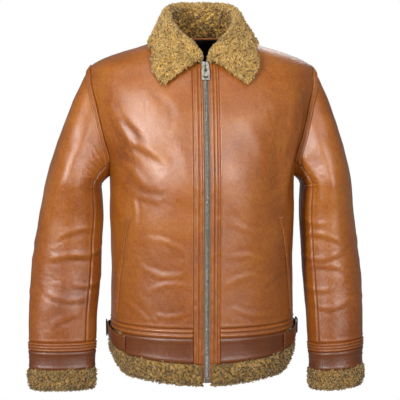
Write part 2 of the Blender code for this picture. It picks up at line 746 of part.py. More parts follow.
def make_cuffs(collection):
    """Ridged strip, flat band and shearling edge of each cuff, all closed rings."""
    turns = np.mod(np.arange(0, 2 * pi + 1e-6, ARMHOLE_STEP), 2 * pi)
    turns[-1] = 0.0
    for side in ("left", "right"):
        levels = CUFF_HEIGHTS[side]
        pieces = (
            ("strip", "leather", "strip", "band", CUFF_STRIP_PROFILE),
            ("band", "dark_leather", "band", "wool", CUFF_BAND_PROFILE),
            ("wool", "wool", "wool", "end", CUFF_WOOL_PROFILE),
        )
        for name, stuff, high, low, profile in pieces:
            share, rise, depth = (np.array(values)[:, None] for values in zip(*profile))
            along = along_at(levels[high] * (1 - share) + levels[low] * share)
            outer = mirror(sleeve(side, turns[None, :], along, rise), side)
            inner = mirror(sleeve(side, turns[None, :], along, -depth), side)
            edges = ("first_row", "last_row")
            patch = (pulled_in(outer, edges), pulled_in(inner, edges))
            wall(collection, f"cuff_{name}_{side}", stuff, [patch])


def along_for_distance(side, turn, distance):
    """Place along the sleeve that lies at a distance from the armhole."""
    steps = np.linspace(0, 0.9, 91)
    found = []
    for angle in turn:
        line = sleeve_base(side, angle, steps)
        run = np.concatenate(((0.0,), np.cumsum(np.linalg.norm(np.diff(line, axis=0), axis=1))))
        found.append(np.interp(distance, run, steps))
    return np.array(found).T


def make_armhole_welts(collection):
    """Raised strip with three ridges, on the sleeve beside the armhole seam."""
    turns = np.arange(WELT_START, WELT_END + 1e-6, ARMHOLE_STEP)
    distance = np.array([row[0] for row in WELT_PROFILE])
    rise = np.array([row[1] for row in WELT_PROFILE])[:, None]
    for side in ("left", "right"):
        along = along_for_distance(side, turns, distance)
        turn = np.broadcast_to(turns[None, :], along.shape)
        outer = mirror(sleeve(side, turn, along, WELT_LIFT + rise), side)
        inner = mirror(sleeve(side, turn, along, WELT_LIFT), side)
        wall(collection, f"armhole_welt_{side}", "leather", [(outer, inner)])


def neck_share(place):
    """Share along the front or the back neckline, at a place from the back to the front end."""
    back = np.clip(place / SHOULDER_PLACE, 0, 1)
    front = np.clip((1 - place) / (1 - SHOULDER_PLACE), COLLAR_FRONT_SHARE, 1)
    return back, front


def neckline(place):
    """Point of the neckline on the left side, at a place from the back to the front end."""
    back, front = neck_share(place)
    behind = body_base(*neck_angle(back, True))
    ahead = body_base(*neck_angle(front, False))
    return np.where(np.asarray(place)[..., None] <= SHOULDER_PLACE, behind, ahead)


def collar_line(place):
    """Middle line of the collar's section at each place: stand, roll and fall."""
    roll_knots = np.array(COLLAR_ROLL)
    edge_knots = np.array(COLLAR_EDGE)
    roll = smooth_curve(roll_knots[:, 0], roll_knots[:, 1:], place)
    edge_angle, edge_height = smooth_curve(edge_knots[:, 0], edge_knots[:, 1:], place).T
    edge = body_base(radians(1) * edge_angle, edge_height)
    edge = edge + body_normal(radians(1) * edge_angle, edge_height) * COLLAR_EDGE_LIFT
    base = neckline(place)
    up = np.array((0.0, 0.0, 1.0))
    inward = unit(base * (-1, -1, 0) + (0, 0.01, 0)) * COLLAR_INSET
    base = base + unit(roll - base) * COLLAR_BASE_GAP + inward
    flat = unit((edge - roll) * (1, 1, 0))
    ahead = np.clip((place - 0.8) / 0.2, 0, 1)[:, None]
    outward = unit(flat * (1 - ahead) + np.array((0.35, -0.95, 0.0)) * ahead)
    top = roll - up * COLLAR_THICKNESS / 2
    inside = top - outward * COLLAR_FOLD_RADIUS - up * COLLAR_FOLD_RADIUS
    outside = top + outward * COLLAR_FOLD_RADIUS - up * COLLAR_FOLD_RADIUS
    middle = (outside + edge) / 2 + outward * COLLAR_BULGE + up * COLLAR_BULGE
    return np.stack((base, (base + inside) / 2, inside, top, outside, middle, edge), axis=1)


def collar_grid(places, shares):
    """Outer and inner grids of the whole collar, from the right front end to the left."""
    sections = collar_line(places)
    half = np.stack([smooth_curve(COLLAR_SHARES, section, shares) for section in sections])
    middle = np.concatenate((mirror(half[:0:-1], "right"), half))
    normal = unit(np.cross(np.gradient(middle, axis=0), np.gradient(middle, axis=1)))
    thin = np.interp(shares, (0, 0.2, 0.88, 1), (0.6, 1, 1, 0.55)) * COLLAR_THICKNESS / 2
    return middle + normal * thin[None, :, None], middle - normal * thin[None, :, None]


def make_collar(collection):
    """The collar, one folded thickness of shearling."""
    behind = np.linspace(0, SHOULDER_PLACE, COLLAR_BACK_ROWS)
    ahead = np.linspace(SHOULDER_PLACE, 1, COLLAR_FRONT_ROWS)[1:]
    places = np.concatenate((behind, ahead))
    wall(collection, "collar", "wool", [collar_grid(places, np.linspace(0, 1, COLLAR_COLUMNS))])


def front_point(x, height, lift=0.0):
    """Point of the front at a distance x from the middle, on either side of it."""
    angle = front_angle(x, height)
    return body(np.where(np.asarray(x) < 0, -pi - angle, angle), height, lift)


def make_zip(collection):
    """Tapes and chain, which lie a little below the leather."""
    levels = np.linspace(ZIP_TOP_Z, ZIP_BOTTOM_Z + ZIP_BOX_SIZE[1] + GAP_TO_SEAT, 21)[:, None]
    strips = {
        "zip_tape_left": ("tape", (ZIP_CHAIN_HALF + SEAM_GAP, ZIP_TAPE_HALF), -0.0014, -0.0030),
        "zip_tape_right": ("tape", (-ZIP_TAPE_HALF, -ZIP_CHAIN_HALF - SEAM_GAP), -0.0014, -0.0030),
        "zip_chain": ("metal", (-ZIP_CHAIN_HALF, ZIP_CHAIN_HALF), 0.0002, -0.0034),
    }
    for name, (stuff, edges, outer_lift, inner_lift) in strips.items():
        x = np.linspace(*edges, 2)[None, :]
        grids = [front_point(*np.broadcast_arrays(x, levels), lift)
                 for lift in (outer_lift, inner_lift)]
        wall(collection, name, stuff, [grids])


def front_frame(height, lift):
    """Matrix of a place on the zip: X to the wearer's left, Y up along the cloth, Z outward."""
    centre = front_point(np.array(0.0), np.array(height), lift)
    outward = body_normal(np.array(-pi / 2), np.array(height))
    across = np.array((1.0, 0.0, 0.0))
    return frame_from(centre, across, np.cross(outward, across), outward)


def frame_from(centre, *axes):
    """Matrix whose columns are three axes and a centre."""
    matrix = Matrix.Identity(4)
    for index, vector in enumerate((*axes, centre)):
        for row in range(3):
            matrix[row][index] = vector[row]
    return matrix


def hard_piece(collection, name, stuff, size, bevel):
    """Box with rounded edges; its matrix is set by the caller."""
    block = bmesh.new()
    bmesh.ops.create_cube(block, size=1.0)
    bmesh.ops.scale(block, vec=size, verts=block.verts)
    made = finished(collection, name, stuff, block)
    rounding = made.modifiers.new("rounding", "BEVEL")
    rounding.width = bevel
    rounding.segments = 2
    return made


def cut(target, cutters, label, size, centre, bevel):
    """Cut a rounded hole, given in the target's own frame, straight through it."""
    tool = hard_piece(cutters, f"{target.name}_{label}_cutter", "metal", size, bevel)
    tool.parent = target
    tool.location = centre
    tool.hide_render = True
    tool.display_type = "WIRE"
    hole = target.modifiers.new("hole", "BOOLEAN")
    hole.operation = "DIFFERENCE"
    hole.object = tool


def rod(collection, name, stuff, points, radius, cyclic=False):
    """Round bar along straight runs between points."""
    curve = bpy.data.curves.new(name, "CURVE")
    curve.dimensions = "3D"
    curve.bevel_depth = radius
    curve.bevel_resolution = 2
    curve.use_fill_caps = True
    line = curve.splines.new("POLY")
    line.points.add(len(points) - 1)
    for knot, point in zip(line.points, points):
        knot.co = (*point, 1.0)
    line.use_cyclic_u = cyclic
    curve.materials.append(material(stuff))
    made = bpy.data.objects.new(name, curve)
    collection.objects.link(made)
    return made


def make_slider(collection, cutters):
    """Slider with its bridge, the pull tab hinged in it, and the box at the zip's lower end."""
    place = front_frame(SLIDER_Z, SLIDER_LIFT)
    plate = hard_piece(collection, "zip_slider", "metal", SLIDER_SIZE, 0.0009)
    plate.matrix_world = place @ Matrix.Translation((0, SLIDER_SHIFT, SLIDER_SIZE[2] / 2))
    foot = SLIDER_SIZE[2] + GAP_TO_SEAT
    crown = foot + BRIDGE_CLEARANCE + BRIDGE_RADIUS
    reach = BRIDGE_LENGTH / 2
    corner = 0.0014
    arch = ((0, reach, foot), (0, reach, crown - corner), (0, reach - corner, crown),
            (0, corner - reach, crown), (0, -reach, crown - corner), (0, -reach, foot))
    bridge = rod(collection, "zip_bridge", "metal", arch, BRIDGE_RADIUS)
    bridge.matrix_world = place
    pull = hard_piece(collection, "zip_pull", "metal", PULL_SIZE, 0.0005)
    length = PULL_SIZE[1]
    bar = PULL_SIZE[2] / 2
    for vertex in pull.data.vertices:
        vertex.co.y += bar - length / 2
    hinge = (0, -reach + BRIDGE_RADIUS + GAP_TO_SEAT + bar, foot + bar)
    pull.matrix_world = place @ Matrix.Translation(hinge) @ Matrix.Rotation(PULL_TILT, 4, "X")
    cut(pull, cutters, "slot", PULL_SLOT, (0, -bar - PULL_SLOT[1] / 2, 0), 0.0004)
    cut(pull, cutters, "hole", PULL_HOLE, (0, bar - PULL_HOLE_SHARE * length, 0), 0.0014)
    box = hard_piece(collection, "zip_box", "metal", ZIP_BOX_SIZE, 0.0006)
    box_z = ZIP_BOTTOM_Z + ZIP_BOX_SIZE[1] / 2
    box.matrix_world = front_frame(box_z, -0.0012)


def make_side_straps(collection):
    """Tapered strap across each hem notch, with a buckle frame and its prong."""
    rows = np.array(STRAP_ROWS)
    share = np.linspace(0, 1, 3)[:, None]
    for side in ("left", "right"):
        angle = side_angle(radians(1) * rows[:, 0], side)
        height = rows[None, :, 2] * (1 - share) + rows[None, :, 1] * share
        angles = np.broadcast_to(angle[None, :], height.shape)
        lift = rows[None, :, 3]
        patch = (body(angles, height, lift + STRAP_THICKNESS), body(angles, height, lift))
        wall(collection, f"side_strap_{side}", "leather", [patch])
        outward = body_normal(side_angle(0.0, side), BUCKLE_Z)
        centre = body(np.array(side_angle(0.0, side)), np.array(BUCKLE_Z), BUCKLE_LIFT)
        rear = np.array((0.0, 1.0, 0.0))
        place = frame_from(centre, rear, np.cross(outward, rear), outward)
        half_x, half_y = (value / 2 for value in BUCKLE_SIZE)
        round_off = 0.003
        ring = []
        for x_sign, y_sign in ((1, 1), (-1, 1), (-1, -1), (1, -1)):
            near_x = (x_sign * (half_x - round_off), y_sign * half_y, 0)
            near_y = (x_sign * half_x, y_sign * (half_y - round_off), 0)
            ring += [near_y, near_x] if x_sign == y_sign else [near_x, near_y]
        frame = rod(collection, f"side_buckle_{side}", "black_metal", ring, BUCKLE_WIRE, cyclic=True)
        frame.matrix_world = place
        end = half_x - BUCKLE_WIRE - GAP_TO_SEAT
        prong = rod(collection, f"side_prong_{side}", "metal",
                    ((-end, 0, PRONG_RISE), (end, 0, PRONG_RISE)), PRONG_RADIUS)
        prong.matrix_world = place


def make_pockets(collection):
    """Two piped lips side by side along each slanted pocket opening."""
    knots = np.array(sorted(POCKET_LINE, key=lambda row: row[1]))
    level = np.linspace(knots[0, 1], knots[-1, 1], 12)
    middle = smooth_curve(knots[:, 1], knots[:, 0], level)
    for side in ("left", "right"):
        for number, name in enumerate(("front", "back")):
            start = (number - 1) * POCKET_LIP_WIDTH + (SEAM_GAP / 2 if number else 0)
            stop = number * POCKET_LIP_WIDTH - (0 if number else SEAM_GAP / 2)
            across = np.linspace(start, stop, 4)
            rise = np.array((0.0008, 0.0024, 0.0024, 0.0008))[None, :]
            angle = front_angle(middle, level)[:, None] + across[None, :] / BODY_SECTIONS[2][2]
            angle = side_angle(angle, side)
            height = np.broadcast_to(level[:, None], angle.shape)
            patch = (body(angle, height, POCKET_LIFT + rise), body(angle, height, POCKET_LIFT))
            wall(collection, f"pocket_lip_{name}_{side}", "leather", [patch])


def build():
    """Make every piece of the jacket."""
    collection, cutters = start_scene()
    make_body(collection)
    make_plackets(collection)
    make_waist(collection)
    make_hem_wool(collection)
    make_sleeves(collection)
    make_armhole_welts(collection)
    make_cuffs(collection)
    make_collar(collection)
    make_zip(collection)
    make_slider(collection, cutters)
    make_pockets(collection)
    make_side_straps(collection)


build()
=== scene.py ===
"""Looks of the zipped sheepskin jacket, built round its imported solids.

Metres, in the frame of the solids: +Z is up, the front faces -Y, +X is the wearer's left.
The leather pieces are thin shells with creases over shorn wool, the shearling edges are curled
locks over a lumpy pile, and the seams, zip teeth and straps have their own small pieces.
"""
from math import pi, radians

import bmesh
import bpy
import numpy as np
from mathutils import Matrix, Vector


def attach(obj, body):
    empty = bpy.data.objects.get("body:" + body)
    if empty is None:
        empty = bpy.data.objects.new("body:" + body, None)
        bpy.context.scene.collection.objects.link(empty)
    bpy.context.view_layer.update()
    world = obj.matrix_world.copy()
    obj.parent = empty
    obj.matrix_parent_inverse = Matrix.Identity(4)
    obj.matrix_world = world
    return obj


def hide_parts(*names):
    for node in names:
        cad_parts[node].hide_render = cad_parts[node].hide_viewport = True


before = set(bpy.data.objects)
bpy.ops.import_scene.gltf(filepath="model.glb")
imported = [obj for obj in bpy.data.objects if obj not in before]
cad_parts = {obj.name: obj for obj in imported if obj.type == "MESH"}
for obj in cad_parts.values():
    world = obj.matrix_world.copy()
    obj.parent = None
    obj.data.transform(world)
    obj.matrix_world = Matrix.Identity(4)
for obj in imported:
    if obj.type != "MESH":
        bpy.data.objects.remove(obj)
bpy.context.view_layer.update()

# Walls: the leather with its shorn wool, and the folded collar
LEATHER_WALL = 0.0045
COLLAR_THICKNESS = 0.0080
SEAM_GAP = 0.0004

# Heights of the level seams of the body
NECK_FRONT_Z = -0.052
NECK_BACK_Z = -0.014
NECK_HALF_WIDTH = 0.078
WAIST_TOP_Z = -0.571
WAIST_BOTTOM_Z = -0.590

# The armhole is an ellipse when it is seen from the side
ARMHOLE_TOP_Z = -0.055
ARMHOLE_BOTTOM_Z = -0.280
ARMHOLE_FRONT = 0.054
ARMHOLE_BACK = 0.062

# Half widths counted from the middle of the zip
ZIP_CHAIN_HALF = 0.0031
FRONT_EDGE = 0.0057
PLACKET_OUTER = 0.0262
ZIP_TOP_Z = -0.0540
ZIP_BOTTOM_Z = -0.6790

# The front waist band ends this far from the middle, where the shearling rises beside it
BAND_END_X = 0.167

# Level sections of the body, from the hem up to the neck
BODY_POWER = 2.2
BODY_COLUMNS = ("height", "half_width", "front", "back", "middle_y")
BODY_SECTIONS = (
    (-0.720, 0.184, 0.141, 0.124, 0.000),
    (-0.580, 0.187, 0.142, 0.118, 0.000),
    (-0.450, 0.186, 0.145, 0.112, 0.000),
    (-0.350, 0.188, 0.150, 0.118, 0.000),
    (-0.270, 0.189, 0.153, 0.132, 0.000),
    (-0.237, 0.194, 0.151, 0.136, 0.003),
    (-0.200, 0.2085, 0.146, 0.137, 0.006),
    (-0.140, 0.225, 0.136, 0.130, 0.010),
    (-0.080, 0.231, 0.116, 0.116, 0.014),
    (-0.055, 0.221, 0.103, 0.106, 0.015),
    (-0.043, 0.201, 0.094, 0.098, 0.015),
    (-0.028, 0.161, 0.083, 0.090, 0.014),
    (-0.0155, 0.121, 0.072, 0.081, 0.013),
    (0.000, 0.078, 0.056, 0.066, 0.012),
    (0.012, 0.050, 0.040, 0.050, 0.012),
)

# Level sections of each sleeve below the armpit, down to the end of the cuff's shearling.
# inner_drop is how much lower the side next to the body hangs than the middle.
SLEEVE_COLUMNS = ("height", "centre_x", "centre_y", "half_width", "half_depth", "inner_drop")
SLEEVE_SECTIONS = {
    "right": (
        (-0.300, 0.2630, 0.006, 0.0580, 0.0740, 0.000),
        (-0.355, 0.2665, 0.006, 0.0650, 0.0630, 0.000),
        (-0.420, 0.2740, 0.003, 0.0690, 0.0555, 0.000),
        (-0.487, 0.2795, -0.004, 0.0715, 0.0475, 0.000),
        (-0.552, 0.2850, -0.014, 0.0697, 0.0415, 0.000),
        (-0.614, 0.2870, -0.024, 0.0685, 0.0325, 0.000),
        (-0.6693, 0.2880, -0.030, 0.0666, 0.0280, 0.000),
        (-0.7075, 0.2880, -0.034, 0.0650, 0.0275, 0.000),
    ),
    "left": (
        (-0.300, 0.2570, 0.006, 0.0525, 0.0790, 0.000),
        (-0.355, 0.2585, 0.006, 0.0562, 0.0715, 0.001),
        (-0.420, 0.2635, 0.003, 0.0585, 0.0655, 0.002),
        (-0.487, 0.2695, -0.004, 0.0603, 0.0597, 0.003),
        (-0.552, 0.2735, -0.014, 0.0590, 0.0535, 0.004),
        (-0.618, 0.2750, -0.024, 0.0570, 0.0470, 0.005),
        (-0.674, 0.2755, -0.030, 0.0548, 0.0432, 0.005),
        (-0.7105, 0.2755, -0.034, 0.0535, 0.0425, 0.005),
    ),
}
CUFF_HEIGHTS = {
    "right": {"strip": -0.614, "band": -0.6318, "wool": -0.6693, "end": -0.7075},
    "left": {"strip": -0.618, "band": -0.6362, "wool": -0.6740, "end": -0.7105},
}

# Sleeve seams, as angles round the sleeve from the side next to the body, positive to the front
FRONT_SEAM = radians(45)
BACK_SEAM = radians(-75)

# The fold line of the collar and the outer edge of its fall, from the back to the front end.
# share is the place along the neckline; the edge is an angle round the body and a height on it.
# Columns: share, x, y, z
COLLAR_ROLL = (
    (0.00, 0.000, 0.086, 0.0725),
    (0.22, 0.046, 0.071, 0.0712),
    (0.46, 0.0715, 0.018, 0.0560),
    (0.64, 0.0665, -0.036, 0.0300),
    (0.80, 0.0450, -0.072, 0.0050),
    (0.92, 0.0220, -0.0875, -0.0150),
    (1.00, 0.0105, -0.0915, -0.0320),
)
# Columns: share, angle degrees, height
COLLAR_EDGE = (
    (0.00, 90.0, -0.036),
    (0.22, 62.0, -0.026),
    (0.46, 4.0, -0.0055),
    (0.64, -51.0, -0.026),
    (0.82, -64.5, -0.055),
    (0.93, -68.3, -0.080),
    (1.00, -72.0, -0.093),
)
COLLAR_EDGE_LIFT = 0.0068
COLLAR_FOLD_RADIUS = 0.0058
COLLAR_BULGE = 0.0004
COLLAR_INSET = 0.0020
COLLAR_BASE_GAP = 0.0020
COLLAR_FRONT_SHARE = 0.045
SHOULDER_PLACE = 0.46
COLLAR_SHARES = (0.0, 0.2, 0.38, 0.5, 0.62, 0.8, 1.0)

# The hem: the top and the end of its shearling against the angle from the side of the body
HEM_COLUMNS = ("angle_from_side_degrees", "wool_top", "wool_end")
HEM_HEIGHTS = (
    (0.0, -0.6050, -0.6400),
    (12.0, -0.6070, -0.6480),
    (22.0, -0.6190, -0.6600),
    (32.0, -0.6300, -0.6690),
    (50.0, -0.6350, -0.6740),
    (70.0, -0.6395, -0.6790),
    (90.0, -0.6425, -0.6830),
)

# Hand pockets: the middle line of the two lips, from the top end to the waist
# Columns: x, height
POCKET_LINE = (
    (0.1500, -0.3560),
    (0.1575, -0.3850),
    (0.1640, -0.4300),
    (0.1710, -0.4900),
    (0.1758, -0.5520),
)
POCKET_LIP_WIDTH = 0.0048
POCKET_LIFT = 0.0005
POCKET_RISE = 0.0027

# Largest folds of the body: x runs to the wearer's left, heights in metres, rise out of the cloth
# Columns: x start, z start, x end, z end, width, rise
FRONT_FOLDS = (
    (-0.178, -0.135, -0.090, -0.238, 0.015, 0.0035),
    (-0.165, -0.165, -0.125, -0.205, 0.012, -0.0030),
    (0.178, -0.115, 0.158, -0.330, 0.013, 0.0030),
    (0.150, -0.150, 0.135, -0.330, 0.016, -0.0025),
    (-0.150, -0.290, -0.110, -0.330, 0.018, -0.0025),
)
BACK_FOLDS = (
    (-0.165, -0.150, -0.120, -0.260, 0.016, 0.0030),
    (0.165, -0.140, 0.125, -0.270, 0.016, 0.0030),
    (-0.130, -0.480, 0.110, -0.470, 0.018, 0.0025),
)

# The raised strip on each armhole: its lift, and the turns round the sleeve where it ends
WELT_LIFT = 0.0010
WELT_START = radians(45)
WELT_END = radians(315)

# The hem's wool starts this far from the middle of the front
HEM_WOOL_START_X = 0.0089

# Zip slider and the box at the lower end: width, length, thickness
GAP_TO_SEAT = 0.0003
SLIDER_Z = -0.0612
SLIDER_LIFT = 0.0003
SLIDER_SIZE = (0.0165, 0.0205, 0.0030)
SLIDER_SHIFT = 0.0024
ZIP_BOX_SIZE = (0.0106, 0.0088, 0.0036)

# Side straps of the hem, from the front band's end to the back band
# Columns: angle degrees, top, bottom, lift
STRAP_ROWS = (
    (-33.0, -0.5930, -0.6250, 0.0008),
    (-27.0, -0.5925, -0.6250, 0.0042),
    (-19.0, -0.5890, -0.6180, 0.0064),
    (-10.0, -0.5845, -0.6090, 0.0066),
    (0.0, -0.5815, -0.6050, 0.0066),
    (10.0, -0.5830, -0.6060, 0.0066),
    (19.0, -0.5880, -0.6110, 0.0064),
    (27.0, -0.5925, -0.6150, 0.0042),
    (33.0, -0.5930, -0.6155, 0.0008),
)
STRAP_THICKNESS = 0.0022
# Creases of the leather: a curved ridge with a trough on its upper or outer side.
# x and z are metres on the body; on a sleeve they are degrees round it and metres down from the
# armhole. bend is a share of the length.
# Columns: x start, z start, x end, z end, bend, width, rise
FRONT_CREASES = (
    (-0.190, -0.128, -0.092, -0.236, -0.10, 0.0090, 0.0018),
    (-0.185, -0.165, -0.140, -0.232, 0.12, 0.0075, 0.00132),
    (-0.150, -0.215, -0.082, -0.262, 0.10, 0.0080, -0.00144),
    (-0.178, -0.235, -0.120, -0.292, 0.08, 0.0070, 0.00096),
    (-0.160, -0.290, -0.085, -0.318, -0.10, 0.0070, 0.00084),
    (-0.142, -0.315, -0.139, -0.372, 0.05, 0.0040, 0.0012),
    (-0.105, -0.110, -0.060, -0.165, 0.10, 0.0090, -0.00072),
    (-0.060, -0.200, -0.034, -0.330, 0.06, 0.0100, 0.00072),
    (-0.120, -0.395, -0.040, -0.420, 0.10, 0.0060, 0.00072),
    (-0.130, -0.450, -0.045, -0.462, -0.12, 0.0065, 0.00084),
    (-0.118, -0.500, -0.030, -0.487, 0.12, 0.0055, 0.00078),
    (-0.100, -0.545, -0.032, -0.535, -0.10, 0.0050, 0.00072),
    (-0.165, -0.520, -0.120, -0.560, 0.08, 0.0060, 0.00084),
    (0.191, -0.110, 0.186, -0.215, 0.05, 0.0080, 0.00192),
    (0.186, -0.215, 0.160, -0.345, -0.08, 0.0085, 0.00156),
    (0.200, -0.092, 0.198, -0.150, 0.06, 0.0050, 0.0012),
    (0.165, -0.125, 0.150, -0.290, 0.05, 0.0100, -0.00096),
    (0.120, -0.330, 0.160, -0.300, 0.12, 0.0080, 0.00084),
    (0.060, -0.150, 0.110, -0.240, 0.08, 0.0120, 0.0006),
    (0.040, -0.350, 0.110, -0.380, -0.12, 0.0070, 0.00072),
    (0.045, -0.430, 0.125, -0.445, 0.12, 0.0060, 0.00084),
    (0.035, -0.485, 0.110, -0.470, 0.10, 0.0060, 0.00072),
    (0.050, -0.530, 0.140, -0.545, -0.10, 0.0055, 0.00084),
    (0.120, -0.500, 0.165, -0.470, 0.10, 0.0060, -0.00072),
)
BACK_CREASES = (
    (-0.185, -0.140, -0.110, -0.260, 0.10, 0.0090, 0.00156),
    (-0.180, -0.200, -0.125, -0.300, -0.08, 0.0080, 0.00108),
    (0.185, -0.150, 0.120, -0.250, -0.10, 0.0090, 0.00156),
    (0.178, -0.215, 0.110, -0.310, 0.10, 0.0080, 0.00108),
    (-0.090, -0.070, 0.070, -0.075, 0.08, 0.0100, 0.0006),
    (-0.130, -0.350, -0.020, -0.370, 0.10, 0.0080, 0.0009),
    (0.010, -0.360, 0.130, -0.345, -0.10, 0.0080, 0.0009),
    (-0.150, -0.430, 0.010, -0.445, 0.08, 0.0075, 0.0012),
    (-0.020, -0.430, 0.150, -0.450, 0.10, 0.0075, 0.00108),
    (-0.120, -0.500, 0.090, -0.492, -0.06, 0.0070, 0.0012),
    (0.030, -0.525, 0.160, -0.535, 0.08, 0.0060, 0.00096),
    (-0.165, -0.540, -0.050, -0.530, 0.08, 0.0060, 0.00096),
)
SLEEVE_CREASES = {
    "right": (
        (20, 0.055, 80, 0.075, 0.10, 0.0055, 0.00096),
        (10, 0.085, 75, 0.100, -0.10, 0.0050, 0.00108),
        (5, 0.115, 85, 0.128, 0.10, 0.0055, 0.00108),
        (-10, 0.150, 70, 0.150, -0.12, 0.0055, 0.0012),
        (-20, 0.180, 60, 0.195, 0.10, 0.0060, 0.00096),
        (100, 0.030, 130, 0.240, 0.05, 0.0110, 0.00096),
        (30, 0.285, 110, 0.300, -0.12, 0.0060, 0.00132),
        (0, 0.312, 95, 0.330, 0.12, 0.0060, 0.00144),
        (20, 0.350, 125, 0.345, -0.10, 0.0065, 0.00132),
        (-10, 0.378, 80, 0.395, 0.10, 0.0060, 0.0012),
        (40, 0.420, 120, 0.410, 0.12, 0.0060, 0.00096),
        (60, 0.455, 110, 0.480, -0.10, 0.0065, 0.00072),
        (150, 0.290, 230, 0.330, 0.10, 0.0080, 0.00108),
        (170, 0.350, 260, 0.360, -0.10, 0.0080, 0.0012),
        (140, 0.410, 220, 0.400, 0.10, 0.0070, 0.00084),
        (200, 0.120, 270, 0.150, 0.10, 0.0080, 0.00096),
    ),
    "left": (
        (60, 0.020, 72, 0.240, 0.04, 0.0095, 0.0012),
        (95, 0.040, 108, 0.330, 0.03, 0.0120, 0.00108),
        (-10, 0.165, 55, 0.195, 0.12, 0.0080, 0.0018),
        (10, 0.205, 60, 0.175, -0.10, 0.0060, -0.0012),
        (20, 0.100, 60, 0.125, 0.10, 0.0055, 0.00084),
        (10, 0.255, 80, 0.275, 0.10, 0.0060, 0.00096),
        (20, 0.300, 110, 0.315, -0.12, 0.0060, 0.00132),
        (10, 0.335, 100, 0.335, 0.12, 0.0055, 0.00144),
        (30, 0.362, 120, 0.375, -0.10, 0.0060, 0.00132),
        (0, 0.395, 85, 0.405, 0.10, 0.0060, 0.00108),
        (40, 0.440, 115, 0.430, 0.12, 0.0055, 0.00084),
        (150, 0.300, 240, 0.335, 0.10, 0.0080, 0.00108),
        (165, 0.360, 255, 0.370, -0.10, 0.0080, 0.0012),
        (140, 0.430, 215, 0.420, 0.10, 0.0070, 0.00084),
        (200, 0.110, 270, 0.145, 0.10, 0.0080, 0.00096),
    ),
}

# Fields of small creases: their middle and half sizes, their mean tilt and its spread in degrees,
# their number, and the length, width and rise of the largest
# Columns: x, z, half x, half z, tilt, spread, count, length, width, rise
FRONT_FIELDS = (
    (0.0, -0.480, 0.150, 0.085, 5, 35, 60, 0.050, 0.0032, 0.0002),
    (0.0, -0.330, 0.170, 0.100, 20, 60, 40, 0.045, 0.0036, 0.00014),
    (0.0, -0.170, 0.180, 0.080, 40, 70, 30, 0.045, 0.0040, 0.0001),
    (0.0, -0.558, 0.175, 0.010, 90, 16, 46, 0.026, 0.0030, 0.00032),
    (-0.150, -0.190, 0.040, 0.060, -48, 25, 22, 0.045, 0.0032, 0.00044),
    (0.160, -0.200, 0.035, 0.080, 80, 20, 18, 0.045, 0.0034, 0.00036),
)
BACK_FIELDS = (
    (0.0, -0.470, 0.170, 0.090, 0, 30, 90, 0.060, 0.0034, 0.00032),
    (0.0, -0.300, 0.180, 0.110, 0, 60, 80, 0.050, 0.0038, 0.00024),
    (0.0, -0.110, 0.180, 0.060, 20, 60, 40, 0.050, 0.0040, 0.0002),
    (0.0, -0.558, 0.180, 0.010, 90, 16, 56, 0.026, 0.0030, 0.00032),
)
SLEEVE_FIELDS = (
    (60, 0.350, 80, 0.080, 0, 22, 70, 0.045, 0.0030, 0.00026),
    (45, 0.140, 60, 0.070, 0, 25, 46, 0.038, 0.0030, 0.00024),
    (200, 0.350, 90, 0.090, 0, 30, 50, 0.050, 0.0036, 0.00022),
    (150, 0.150, 150, 0.130, 60, 60, 60, 0.045, 0.0038, 0.00014),
    (110, 0.470, 180, 0.050, 0, 40, 60, 0.040, 0.0032, 0.00017),
)

# A sleeve laid flat: metres for each radian round it, and the length of its cap
SLEEVE_TURN_METRES = 0.062
CAP_LENGTH = 0.2

# Soft unevenness of the leather: wavelength, height and seed
BODY_RIPPLES = ((0.070, 0.0006, 21), (0.018, 0.00008, 22))
SLEEVE_RIPPLES = ((0.065, 0.0005, 23), (0.016, 0.00008, 24))

# The lining of a shell keeps one line in this many
PANEL_STEP = 3

# Colours of the dressed pieces, linear: dark, middle and light tone
LEATHER_TONES = ((0.130, 0.028, 0.003), (0.300, 0.082, 0.008), (0.440, 0.160, 0.020))
BAND_TONES = ((0.060, 0.013, 0.002), (0.130, 0.031, 0.004), (0.205, 0.060, 0.010))
WOOL_TONES = ((0.150, 0.075, 0.012), (0.560, 0.330, 0.075), (0.860, 0.590, 0.200))
HEM_TONES = ((0.080, 0.042, 0.008), (0.300, 0.170, 0.042), (0.560, 0.360, 0.115))
# The inside's tones are the wool's hue darkened as painted shade.
INSIDE_SHADED_TONES = ((0.022, 0.012, 0.003), (0.085, 0.050, 0.015), (0.170, 0.110, 0.036))

# Painted shade: the leather darkens between these heights, by this tint
SHADE_TOP_Z = -0.30
SHADE_END_Z = -0.66
LOW_SHADE_TINT = (0.60, 0.47, 0.36)


def smooth_curve(knots, values, at):
    """Smooth curve through the knots, whose slopes come from each knot's neighbours."""
    knots = np.asarray(knots, dtype=float)
    values = np.asarray(values, dtype=float)
    at = np.clip(np.asarray(at, dtype=float), knots[0], knots[-1])
    slopes = np.gradient(values, knots, axis=0)
    left = np.clip(np.searchsorted(knots, at) - 1, 0, len(knots) - 2)
    span = knots[left + 1] - knots[left]
    t = (at - knots[left]) / span
    if values.ndim > 1:
        span = span[..., None]
        t = t[..., None]
    return (
        values[left] * (1 + 2 * t) * (1 - t) ** 2
        + slopes[left] * span * t * (1 - t) ** 2
        + values[left + 1] * t**2 * (3 - 2 * t)
        + slopes[left + 1] * span * t**2 * (t - 1)
    )


def column(table, index):
    """One column of a table of sections, with its rows in rising order of the first column."""
    rows = np.array(sorted(table))
    return rows[:, 0], rows[:, index]


def unit(vectors):
    """Vectors of length one."""
    length = np.linalg.norm(vectors, axis=-1, keepdims=True)
    return vectors / np.maximum(length, 1e-12)


def signed_power(value, power):
    """A power that keeps the sign of the value."""
    return np.sign(value) * np.abs(value) ** power


